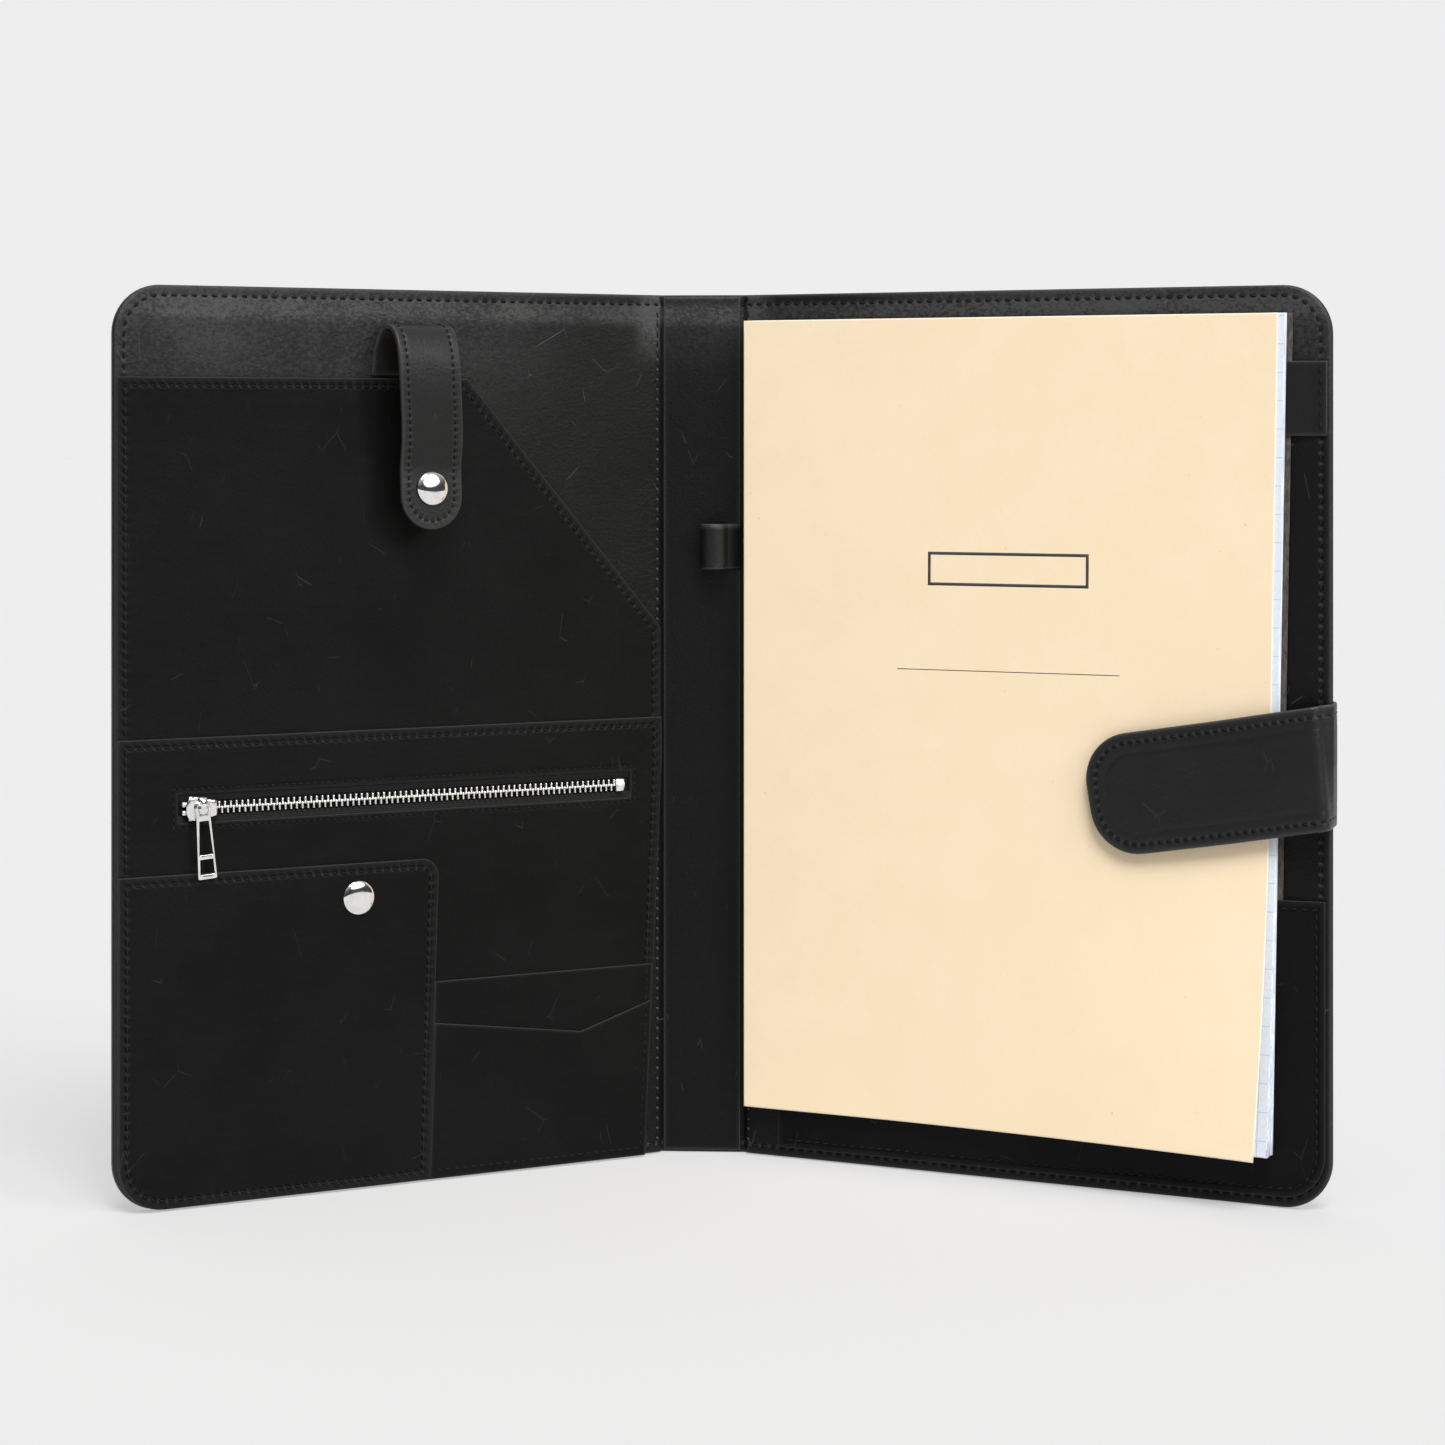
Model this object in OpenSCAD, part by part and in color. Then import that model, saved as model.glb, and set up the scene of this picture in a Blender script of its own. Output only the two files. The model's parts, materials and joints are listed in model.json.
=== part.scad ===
// Leather notebook cover: an A4 portfolio that stands open in a V, with a refill pad.
// X runs to the right, Y runs away from the reader and Z runs up. The origin is at the
// bottom centre of the whole object. Each cover is drawn in its own frame: X outward from
// the hinge line, Y towards the inside of the portfolio, Z up.

/* [Covers] */
// Height of both covers and the spine
cover_h = 326; // [300:1:350]
// Width of the front cover, from its hinge line to its outer edge
front_w = 219; // [219:1:226]
// Width of the back cover, from its hinge line to its outer edge
back_w = 224; // [224:1:226]
// Radius of the outer corners
corner_r = 17.5; // [10:0.5:22]
// Thickness of the outer leather
outer_t = 1.4; // [1:0.1:1.8]
// Thickness of the stiffening board in each cover
board_t = 2; // [1.5:0.1:2.5]
// Thickness of the lining leather
lining_t = 1; // [0.8:0.1:1.2]
// Width of the leather turned over the edge of the board
rim_t = 1.5; // [1:0.1:2.5]
// How far the front cover is swung forward from flat, in degrees
front_angle = 31; // [10:1:45]
// How far the back cover is swung forward from flat, in degrees
back_angle = 22.5; // [10:0.5:45]

/* [Spine] */
// Width of the spine strip
spine_w = 31; // [30:0.5:36]
// Free leather between a hinge line and the piece on either side of it
hinge_gap = 1; // [0.8:0.1:1.5]
// Radius of the hole in the pen loop
pen_r = 4; // [3:0.1:4]
// Thickness of the pen loop's leather
pen_loop_t = 1; // [0.8:0.1:1]
// Height of the pen loop
pen_loop_h = 17; // [12:1:25]
// Height of the pen loop's lower edge above the base
pen_loop_z = 222; // [190:1:260]

/* [Document pocket] */
// Height of the document pocket's mouth
document_z = 293.5; // [280:0.5:294]
// Height at which the slanted mouth meets the spine side
document_low_z = 200; // [170:1:230]
// Distance from the hinge line to the top of the slanted mouth
document_slant_x = 83; // [70:1:87]
// Thickness of a pocket's leather
pocket_t = 1; // [0.8:0.1:1]

/* [Zip pocket] */
// Height of the zip panel's top edge
zip_panel_z = 166; // [160:1:175]
// Height of the zip's centre line
zip_z = 141; // [138:1:144]
// Height of the window that shows the zip
window_h = 10; // [9:0.5:11]
// Distance from the hinge line to the window's near end
window_x0 = 15.3; // [14:0.1:16]
// Distance from the hinge line to the window's far end
window_x1 = 196; // [195:0.5:198]
// Pitch of the zip's teeth
tooth_pitch = 2.2; // [2.2:0.1:2.6]
// Length of the pull tab, from its pivot
pull_l = 25; // [20:1:30]

/* [Card and phone pockets] */
// Height of the phone pocket
phone_h = 118; // [110:1:120]
// Height of the rear card slot's edge
card_back_z = 72.8; // [65:0.1:80]
// Diameter of both snap caps
snap_d = 12.4; // [10:0.1:13]

/* [Pocket strap] */
// Width of the strap that holds the document pocket shut
pocket_strap_w = 24; // [20:0.5:26]
// Length of its hanging front, from the crown of the fold to the tip
pocket_strap_l = 75; // [70:1:78]
// How far its tip stands off from hanging straight, in degrees
pocket_strap_lean = 3; // [0:0.5:3]

/* [Closure strap] */
// Width of the strap that closes the portfolio
closure_w = 43.5; // [38:0.5:46]
// Length of its free part, from the fold to the tip
closure_l = 88; // [85:1:100]
// Height of the strap's centre at the cover's edge
closure_z = 156.5; // [140:0.5:175]
// Tilt of its fold line from upright, in degrees
fold_tilt = 4.75; // [0:0.25:6]

/* [Refill pad] */
// Width of the pad's pages
page_w = 208; // [200:1:211]
// Height of the pad's pages
page_h = 297; // [280:1:297]
// Height of the pad's lower edge above the base
pad_z = 19; // [19:0.5:22]
// Thickness of all the pages together
pages_t = 2.4; // [1:0.1:2.4]

/* [Hidden] */
$fn = 64;

cover_t = outer_t + board_t + lining_t;
// Levels across a cover, measured from the hinge line towards the inside
outside = -cover_t / 2;
board_level = outside + outer_t;
lining_level = board_level + board_t;
inside = cover_t / 2;
zip_level = inside + pocket_t;
front_pocket_level = zip_level + pocket_t;
spine_inside = board_level + lining_t;
hinge_x = spine_w / 2 + hinge_gap;
pen_loop_x = 3.9;
pen_loop_y = -spine_inside - pen_loop_t - pen_r;
pen_tail_gap = 0.3;
pen_tail_x = hinge_x - inside - pen_tail_gap;
// Edge of the pockets, just inside the edge of the cover
pocket_inset = 0.6;
// Straight steps around a hinge's bend
bend_steps = 8;
// How far a cutting shape runs past the surface that it cuts
cut = 1;

// Spine-side edge of the pockets, which slants outward towards the base
pocket_edge_x = 1.5;
pocket_foot_x = 8.7;
pocket_bend_z = 150;

// Zip
tape_t = 0.5;
tape_margin = 7;
teeth_half_h = 2.5;
tooth_w = 0.9;
tooth_over = 0.8;
teeth_t = 2;
teeth_x0 = 21.8;
teeth_x1 = 190;
end_stop = [3.3, 4.6];
end_stop_gap = 0.2;
top_stop = [2, 1.8];
top_stop_from_end = 3.3;
top_stop_z = 1.5;
slider_x = 188;
slider_l = 11.5;
slider_w = 8.8;
slider_plate_t = 1.1;
slider_gap = 0.3;
slider_level = zip_level + teeth_t + slider_gap;
flange_t = 0.9;
flange_sink = 0.2;
flange_level = front_pocket_level - flange_sink;
post_r = 0.9;
pull_gap = 0.3;
pull_level = slider_level + slider_plate_t + pull_gap;
pull_t = 1;
pull_ring_r = 2.9;
pull_eye_r = 1.5;
pull_half_w = [2.5, 3.65];
pull_slot_z = [-5, -16];
pull_slot_half_w = [1.3, 1.9];
pull_window = [4, 3.2];
pull_window_z = 3;
post_cap_r = 2.1;
post_cap_t = 0.7;

// Card and phone pockets
card_t = 0.6;
card_setback = 0.8;
card_front_ends_z = [57.7, 59.2];
card_dip = [36.6, 49.7];
phone_top_x = 95;
phone_foot_x = 98.9;
phone_corner_r = 6.5;
phone_snap = [127.2, 105.5];
snap_hole_r = 2;
snap_post_r = 1.9;
phone_cap_t = 1.1;

// Pocket strap
strap_layer_t = 1;
anchor_t = 1.2;
anchor_gap = 0.2;
pocket_strap_x = 103;
pocket_strap_r = 4.8;
pocket_strap_axis_y = inside + anchor_t / 2 + pocket_strap_r;
crown_z = 313.2;
pocket_strap_axis_z = crown_z - pocket_strap_r - strap_layer_t;
snap_drop = 54;
snap_cap_t = 1.6;
socket_r = 4.5;
socket_t = 0.9;
stud_r = 3.2;
stud_t = 1.2;
fold_clearance = 0.5;

// Closure strap
closure_t = 2.4;
closure_face_t = 1;
closure_fold_r = 6.4;
closure_edge_gap = 1.3;
closure_axis_x = back_w + closure_edge_gap;
closure_axis_y = outside - closure_t / 2 + closure_fold_r;
closure_level = closure_fold_r - closure_t / 2;
closure_tip_r = 17;
closure_base_l = 75;
magnet_r = 7;
magnet_t = 1;
closure_magnet_from_tip = 24;
closure_magnet_x = closure_l - closure_magnet_from_tip;
front_magnet_x = 188;
front_magnet_t = 1.8;
magnet_clearance = 0.1;
magnet_depth = 0.4;

// Refill pad
pad_x = 1.8;
backboard_reach = 1.8;
backboard_w = page_w + backboard_reach;
backboard_t = 0.8;
sheet_gap = 0.15;
backboard_level = inside + sheet_gap;
holder_t = 0.8;
holder_level = backboard_level + backboard_t + sheet_gap;
pages_gap = 0.2;
pages_level = holder_level + holder_t + pages_gap;
binding_w = 10;
card_cover_t = 0.3;
card_cover_setback = 1.5;
card_cover_w = page_w - card_cover_setback;
card_cover_level = pages_level + pages_t + pages_gap;
holder_gap = 2.2;
holder_margin = 2;
pad_seam_gap = 0.3;
holder_x = pad_x + binding_w + holder_gap;
holder_end_x = back_w - holder_margin;
holder_seam_w = 5;
pad_pocket_seam_z = 4;
tab_x = 150;
tab_z = [272.7, 299];
pad_pocket_z = 109;
pad_seam_z = [pad_pocket_seam_z, pad_z - pad_seam_gap];

// Extent of the whole object, which puts the origin at its bottom centre
left_end = -hinge_x - front_w * cos(front_angle) + outside * sin(front_angle);
fold_lean = closure_w / 2 * sin(fold_tilt);
right_end = hinge_x + (closure_axis_x + fold_lean) * cos(back_angle)
    - closure_axis_y * sin(back_angle) + closure_fold_r + closure_t / 2;
near_end = -(front_w - pocket_inset) * sin(front_angle)
    - (front_pocket_level + pocket_t) * cos(front_angle);
far_end = -outside;
centre = [(left_end + right_end) / 2, (near_end + far_end) / 2, 0];

// Places a piece drawn in the spine's frame
module on_spine() {
    translate(-centre) children();
}

// Places a piece drawn in the front cover's frame
module on_front() {
    on_spine() translate([-hinge_x, 0, 0]) rotate([0, 0, 180 + front_angle]) children();
}

// Places a piece drawn in the back cover's frame
module on_back() {
    on_spine() translate([hinge_x, 0, 0]) rotate([0, 0, -back_angle]) mirror([0, 1, 0]) children();
}

// Places a piece of the pocket strap: Z runs up the hanging strap, and the origin is its hinge
module on_pocket_strap() {
    on_front() translate([pocket_strap_x, pocket_strap_axis_y, pocket_strap_axis_z])
        rotate([pocket_strap_lean, 0, 0]) children();
}

// Places a piece of the closure strap: X runs from its hinge line towards its tip
module on_closure_strap() {
    on_back() translate([closure_axis_x, closure_axis_y, closure_z])
        rotate([0, 180 - 2 * fold_tilt, 0]) children();
}

// An upright sheet of the outline given, from the level y to y + t
module sheet(y, t) {
    translate([0, y + t, 0]) rotate([90, 0, 0]) linear_extrude(t) children();
}

// A cylinder that runs across a cover, from the level y to y + t
module disc(x, z, y, r, t) {
    translate([x, y + t, z]) rotate([90, 0, 0]) cylinder(h = t, r = r);
}

// An upright block between two corners
module block(low, high) {
    translate(low) cube(high - low);
}

// Outline of a cover of the width given, moved in from its three free edges
module cover_outline(width, inset = 0) {
    r = corner_r - inset;
    x1 = width - inset;
    z0 = inset;
    z1 = cover_h - inset;
    translate([hinge_gap, z0]) square([x1 - r - hinge_gap, z1 - z0]);
    translate([hinge_gap, z0 + r]) square([x1 - hinge_gap, z1 - z0 - 2 * r]);
    for (z = [z0 + r, z1 - r]) translate([x1 - r, z]) circle(r);
}

// Outer leather of a cover, turned over the edge of the board
module outer_leather(width) {
    color("#161616") {
        sheet(outside, outer_t) cover_outline(width);
        sheet(board_level, board_t) difference() {
            cover_outline(width);
            cover_outline(width, rim_t);
            translate([0, rim_t]) square([corner_r, cover_h - 2 * rim_t]);
        }
    }
}

// A point turned about the hinge line by the angle given
function turned(x, y, angle) = [x * cos(angle) - y * sin(angle), x * sin(angle) + y * cos(angle)];

// Free leather that bends at a hinge line, through the angle given
module hinge_leather(angle) {
    steps = [for (i = [0 : bend_steps]) i * angle / bend_steps];
    color("#101010") linear_extrude(cover_h) polygon(concat(
        [[hinge_gap, -outside]],
        [for (a = steps) turned(0, -outside, a)],
        [turned(-hinge_gap, -outside, angle), turned(-hinge_gap, -board_level, angle)],
        [for (a = steps) turned(0, -board_level, angle - a)],
        [[hinge_gap, -board_level]]
    ));
}

// X of the pockets' spine-side edge at the height given
function pocket_side_x(z) =
    z > pocket_bend_z ? pocket_edge_x
    : pocket_foot_x + (pocket_edge_x - pocket_foot_x) * z / pocket_bend_z;

// X of the phone pocket's free edge at the height given
function phone_side_x(z) = phone_foot_x + (phone_top_x - phone_foot_x) * z / phone_h;

// ---- Spine ----

module spine_outer_leather() {
    color("#161616") on_spine()
        block([-spine_w / 2, -board_level, 0], [spine_w / 2, -outside, cover_h]);
}

module spine_lining() {
    color("#1c1c1c") on_spine()
        block([-spine_w / 2, -spine_inside, 0], [spine_w / 2, -board_level, cover_h]);
}

module front_hinge_leather() {
    on_spine() translate([-hinge_x, 0, 0]) hinge_leather(front_angle);
}

module back_hinge_leather() {
    on_spine() translate([hinge_x, 0, 0]) mirror([1, 0, 0]) hinge_leather(back_angle);
}

module pen_loop() {
    color("#141414") on_spine() translate([pen_loop_x, pen_loop_y, pen_loop_z]) difference() {
        union() {
            cylinder(h = pen_loop_h, r = pen_r + pen_loop_t);
            translate([0, pen_r, 0])
                cube([pen_tail_x - pen_loop_x, pen_loop_t, pen_loop_h]);
        }
        translate([0, 0, -cut]) cylinder(h = pen_loop_h + 2 * cut, r = pen_r);
    }
}

// ---- Front cover ----

module front_outer_leather() {
    on_front() outer_leather(front_w);
}

module front_board() {
    color("#6b6257") on_front() difference() {
        sheet(board_level, board_t) cover_outline(front_w, rim_t);
        disc(
            front_magnet_x, closure_z, board_level - cut, magnet_r + magnet_clearance, board_t + 2 * cut
        );
    }
}

module front_magnet() {
    color("#9a9a9a") on_front()
        disc(front_magnet_x, closure_z, board_level, magnet_r, front_magnet_t);
}

module front_lining() {
    color("#242424") on_front() sheet(lining_level, lining_t) cover_outline(front_w);
}

module document_pocket() {
    color("#191919") on_front() sheet(inside, pocket_t) intersection() {
        cover_outline(front_w, pocket_inset);
        polygon([
            [front_w, 0], [front_w, document_z], [document_slant_x, document_z],
            [pocket_edge_x, document_low_z], [pocket_edge_x, pocket_bend_z], [pocket_foot_x, 0]
        ]);
    }
}

module zip_panel() {
    color("#151515") on_front() difference() {
        sheet(zip_level, pocket_t) difference() {
            intersection() {
                cover_outline(front_w, pocket_inset);
                polygon([
                    [front_w, 0], [front_w, zip_panel_z], [pocket_edge_x, zip_panel_z],
                    [pocket_edge_x, pocket_bend_z], [pocket_foot_x, 0]
                ]);
            }
            translate([window_x0, zip_z - window_h / 2]) square([window_x1 - window_x0, window_h]);
        }
        block(
            [window_x0 - tape_margin, zip_level - cut, zip_z - window_h / 2 - tape_margin],
            [window_x1 + tape_margin, zip_level + tape_t, zip_z + window_h / 2 + tape_margin]
        );
        disc(phone_snap[0], phone_snap[1], zip_level - cut, snap_hole_r, pocket_t + 2 * cut);
    }
}

// Half of the zip's tape, above (side 1) or below (side -1) the teeth
module zip_tape(side) {
    reach = window_h / 2 + tape_margin;
    z = [zip_z + side * teeth_half_h, zip_z + side * reach];
    color("#0c0c0c") on_front() block(
        [window_x0 - tape_margin, zip_level, min(z)],
        [window_x1 + tape_margin, zip_level + tape_t, max(z)]
    );
}

module zip_tape_upper() {
    zip_tape(1);
}

module zip_tape_lower() {
    zip_tape(-1);
}

// One row of teeth on its cord, above (side 1) or below (side -1) the centre line
module zip_teeth(side) {
    first = teeth_x0 + (side > 0 ? 0 : tooth_pitch / 2);
    rail = [zip_z + side * (teeth_half_h - tooth_w), zip_z + side * teeth_half_h];
    tooth = [zip_z - side * tooth_over, zip_z + side * teeth_half_h];
    color("#d0d0d0") on_front() {
        block([teeth_x0, zip_level, min(rail)], [teeth_x1, zip_level + teeth_t / 2, max(rail)]);
        for (x = [first : tooth_pitch : teeth_x1 - tooth_w])
            block([x, zip_level, min(tooth)], [x + tooth_w, zip_level + teeth_t, max(tooth)]);
    }
}

module zip_teeth_upper() {
    zip_teeth(1);
}

module zip_teeth_lower() {
    zip_teeth(-1);
}

module zip_top_stops() {
    x = window_x1 - top_stop_from_end;
    color("#c8c8c8") on_front() for (side = [-1, 1]) sheet(zip_level, top_stop[1])
        translate([x, zip_z + side * top_stop_z - top_stop[1] / 2]) square(top_stop);
}

module zip_end_stop() {
    x = teeth_x0 - end_stop_gap - end_stop[0];
    color("#c8c8c8") on_front() sheet(zip_level, teeth_t)
        translate([x, zip_z - end_stop[1] / 2]) square(end_stop);
}

module zip_slider() {
    color("#d8d8d8") on_front() translate([slider_x, 0, zip_z]) {
        block(
            [-slider_l / 2, slider_level, -slider_w / 2],
            [slider_l / 2, slider_level + slider_plate_t, slider_w / 2]
        );
        for (z = [-slider_w / 2, slider_w / 2 - flange_t]) translate([-slider_l / 2, flange_level, z])
            cube([slider_l, slider_level - flange_level, flange_t]);
        disc(0, 0, slider_level + slider_plate_t, post_r, pull_t + 2 * pull_gap);
        disc(0, 0, pull_level + pull_t + pull_gap, post_cap_r, post_cap_t);
    }
}

// A strip that hangs between two heights and has a half width at each
module hanging_strip(z, half_w) {
    polygon([[half_w[0], z[0]], [-half_w[0], z[0]], [-half_w[1], z[1]], [half_w[1], z[1]]]);
}

module zip_pull() {
    color("#d8d8d8") on_front() translate([slider_x, 0, zip_z]) sheet(pull_level, pull_t)
        difference() {
            union() {
                circle(pull_ring_r);
                hanging_strip([0, -pull_l], pull_half_w);
            }
            circle(pull_eye_r);
            hanging_strip(pull_slot_z, pull_slot_half_w);
            translate([-pull_window[0] / 2, pull_window_z - pull_l]) square(pull_window);
        }
}

module card_slot_back() {
    color("#131313") on_front() sheet(front_pocket_level, card_t) intersection() {
        cover_outline(front_w, pocket_inset);
        polygon([
            [phone_side_x(0), 0], [phone_side_x(card_back_z), card_back_z],
            [pocket_side_x(card_back_z) + card_setback, card_back_z], [pocket_foot_x + card_setback, 0]
        ]);
    }
}

module card_slot_front() {
    z0 = card_front_ends_z[0];
    z1 = card_front_ends_z[1];
    color("#161616") on_front() sheet(front_pocket_level + card_t, card_t) intersection() {
        cover_outline(front_w, pocket_inset);
        polygon([
            [phone_side_x(0), 0], [phone_side_x(z0), z0], card_dip,
            [pocket_side_x(z1) + card_setback, z1], [pocket_foot_x + card_setback, 0]
        ]);
    }
}

module phone_pocket() {
    color("#121212") on_front() sheet(front_pocket_level, pocket_t) difference() {
        intersection() {
            cover_outline(front_w, pocket_inset);
            union() {
                corner_z = phone_h - phone_corner_r;
                corner_x = phone_side_x(corner_z) + phone_corner_r;
                polygon([
                    [front_w, 0], [front_w, phone_h], [corner_x, phone_h], [corner_x, corner_z],
                    [phone_side_x(corner_z), corner_z], [phone_side_x(0), 0]
                ]);
                translate([corner_x, corner_z]) circle(phone_corner_r);
            }
        }
        translate(phone_snap) circle(snap_hole_r);
    }
}

module phone_snap_cap() {
    color("#e0e0e0") on_front() {
        disc(phone_snap[0], phone_snap[1], front_pocket_level, snap_post_r, pocket_t);
        disc(phone_snap[0], phone_snap[1], front_pocket_level + pocket_t, snap_d / 2, phone_cap_t);
    }
}

module phone_snap_stud() {
    color("#b0b0b0") on_front()
        disc(phone_snap[0], phone_snap[1], zip_level, snap_post_r, pocket_t);
}

// ---- Pocket strap ----

module pocket_strap_anchor() {
    color("#181818") on_front() block(
        [pocket_strap_x - pocket_strap_w / 2, inside, document_z + anchor_gap],
        [pocket_strap_x + pocket_strap_w / 2, inside + anchor_t, pocket_strap_axis_z - fold_clearance]
    );
}

module pocket_strap_fold() {
    color("#181818") on_front() translate(
        [pocket_strap_x - pocket_strap_w / 2, pocket_strap_axis_y, pocket_strap_axis_z]
    ) rotate([90, 0, 90]) rotate_extrude(angle = 180)
        translate([pocket_strap_r - anchor_t / 2, 0]) square([anchor_t, pocket_strap_w]);
}

// Outline of the hanging strap, with its hinge at the origin
module pocket_strap_outline() {
    r = pocket_strap_w / 2;
    drop = pocket_strap_l - (crown_z - pocket_strap_axis_z);
    translate([-r, r - drop]) square([2 * r, drop - r - fold_clearance]);
    translate([0, r - drop]) circle(r);
}

module pocket_strap_face() {
    color("#1a1a1a") on_pocket_strap() sheet(pocket_strap_r, strap_layer_t) difference() {
        pocket_strap_outline();
        translate([0, -snap_drop]) circle(snap_hole_r);
    }
}

module pocket_strap_backing() {
    color("#202020") on_pocket_strap()
        sheet(pocket_strap_r - strap_layer_t, strap_layer_t) difference() {
            pocket_strap_outline();
            translate([0, -snap_drop]) circle(snap_hole_r);
        }
}

module pocket_snap_cap() {
    color("#e0e0e0") on_pocket_strap() {
        disc(0, -snap_drop, pocket_strap_r, snap_post_r, strap_layer_t);
        disc(0, -snap_drop, pocket_strap_r + strap_layer_t, snap_d / 2, snap_cap_t);
    }
}

module pocket_snap_socket() {
    level = pocket_strap_r - strap_layer_t;
    color("#b0b0b0") on_pocket_strap() {
        disc(0, -snap_drop, level, snap_post_r, strap_layer_t);
        disc(0, -snap_drop, level - socket_t, socket_r, socket_t);
    }
}

module pocket_snap_stud() {
    color("#b0b0b0") on_front()
        disc(pocket_strap_x, pocket_strap_axis_z - snap_drop, zip_level, stud_r, stud_t);
}

// ---- Back cover ----

module back_outer_leather() {
    on_back() outer_leather(back_w);
}

module back_board() {
    color("#6b6257") on_back() sheet(board_level, board_t) cover_outline(back_w, rim_t);
}

module back_lining() {
    color("#242424") on_back() sheet(lining_level, lining_t) cover_outline(back_w);
}

// The end of a pad holder that is sewn to the lining at the cover's outer edge
module holder_seam(z0, z1) {
    block([holder_end_x - holder_seam_w, inside, z0], [holder_end_x, holder_level + holder_t, z1]);
}

module pad_retaining_tab() {
    color("#1a1a1a") on_back() {
        block([tab_x, holder_level, tab_z[0]], [holder_end_x, holder_level + holder_t, tab_z[1]]);
        holder_seam(tab_z[0], tab_z[1]);
    }
}

module pad_pocket() {
    color("#151515") on_back() intersection() {
        sheet(inside, holder_level + holder_t - inside) cover_outline(back_w, pocket_inset);
        union() {
            front = holder_level + holder_t;
            block([holder_x, holder_level, pad_seam_z[0]], [holder_end_x, front, pad_pocket_z]);
            block([holder_x, inside, pad_seam_z[0]], [holder_end_x, front, pad_seam_z[1]]);
            holder_seam(pad_seam_z[0], pad_pocket_z);
        }
    }
}

// ---- Closure strap ----

module closure_strap_base() {
    color("#141414") on_back() sheet(outside - closure_t, closure_t)
        translate([closure_axis_x, closure_z]) {
            slant = closure_w / 2 * tan(fold_tilt);
            polygon([
                [-closure_base_l, -closure_w / 2], [slant - fold_clearance, -closure_w / 2],
                [-slant - fold_clearance, closure_w / 2], [-closure_base_l, closure_w / 2]
            ]);
        }
}

module closure_strap_fold() {
    color("#141414") on_back() translate([closure_axis_x, closure_axis_y, closure_z])
        rotate([0, -fold_tilt, 0]) rotate_extrude(angle = 180, start = -90)
            translate([closure_level, -closure_w / 2]) square([closure_t, closure_w]);
}

// Outline of the free part of the strap, from its hinge line to its rounded tip
module closure_outline() {
    r = closure_tip_r;
    half = closure_w / 2;
    slant = half * tan(fold_tilt);
    polygon([
        [-slant + fold_clearance, -half], [closure_l - r, -half], [closure_l - r, half],
        [slant + fold_clearance, half]
    ]);
    translate([closure_l - r - cut, r - half]) square([r + cut, closure_w - 2 * r]);
    for (side = [-1, 1]) translate([closure_l - r, side * (half - r)]) circle(r);
}

module closure_strap_face() {
    color("#181818") on_closure_strap()
        sheet(closure_level + closure_t - closure_face_t, closure_face_t) closure_outline();
}

module closure_strap_backing() {
    color("#141414") on_closure_strap() difference() {
        sheet(closure_level, closure_t - closure_face_t) closure_outline();
        disc(
            closure_magnet_x, 0, closure_level + magnet_depth, magnet_r + magnet_clearance, magnet_t + cut
        );
    }
}

module closure_magnet() {
    color("#9a9a9a") on_closure_strap()
        disc(closure_magnet_x, 0, closure_level + magnet_depth, magnet_r, magnet_t);
}

// ---- Refill pad ----

module notebook_backboard() {
    color("#8a8078") on_back() block(
        [pad_x, backboard_level, pad_z],
        [pad_x + backboard_w, backboard_level + backboard_t, pad_z + page_h]
    );
}

module notebook_binding() {
    color("#e8dcc4") on_back() block(
        [pad_x, backboard_level + backboard_t, pad_z], [pad_x + binding_w, pages_level, pad_z + page_h]
    );
}

module notebook_pages() {
    color("#e6eef2") on_back()
        block([pad_x, pages_level, pad_z], [pad_x + page_w, pages_level + pages_t, pad_z + page_h]);
}

module notebook_cover() {
    color("#f5debb") on_back() block(
        [pad_x, card_cover_level, pad_z],
        [pad_x + card_cover_w, card_cover_level + card_cover_t, pad_z + page_h]
    );
}

spine_outer_leather();
spine_lining();
pen_loop();
front_hinge_leather();
back_hinge_leather();
front_outer_leather();
front_board();
front_magnet();
front_lining();
document_pocket();
zip_panel();
zip_tape_upper();
zip_tape_lower();
zip_teeth_upper();
zip_teeth_lower();
zip_top_stops();
zip_end_stop();
zip_slider();
zip_pull();
card_slot_back();
card_slot_front();
phone_pocket();
phone_snap_cap();
phone_snap_stud();
pocket_strap_anchor();
pocket_strap_fold();
pocket_strap_face();
pocket_strap_backing();
pocket_snap_cap();
pocket_snap_socket();
pocket_snap_stud();
back_outer_leather();
back_board();
back_lining();
pad_retaining_tab();
pad_pocket();
closure_strap_base();
closure_strap_fold();
closure_strap_face();
closure_strap_backing();
closure_magnet();
notebook_backboard();
notebook_binding();
notebook_pages();
notebook_cover();
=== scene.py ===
import functools
import json
import math
import random

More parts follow.
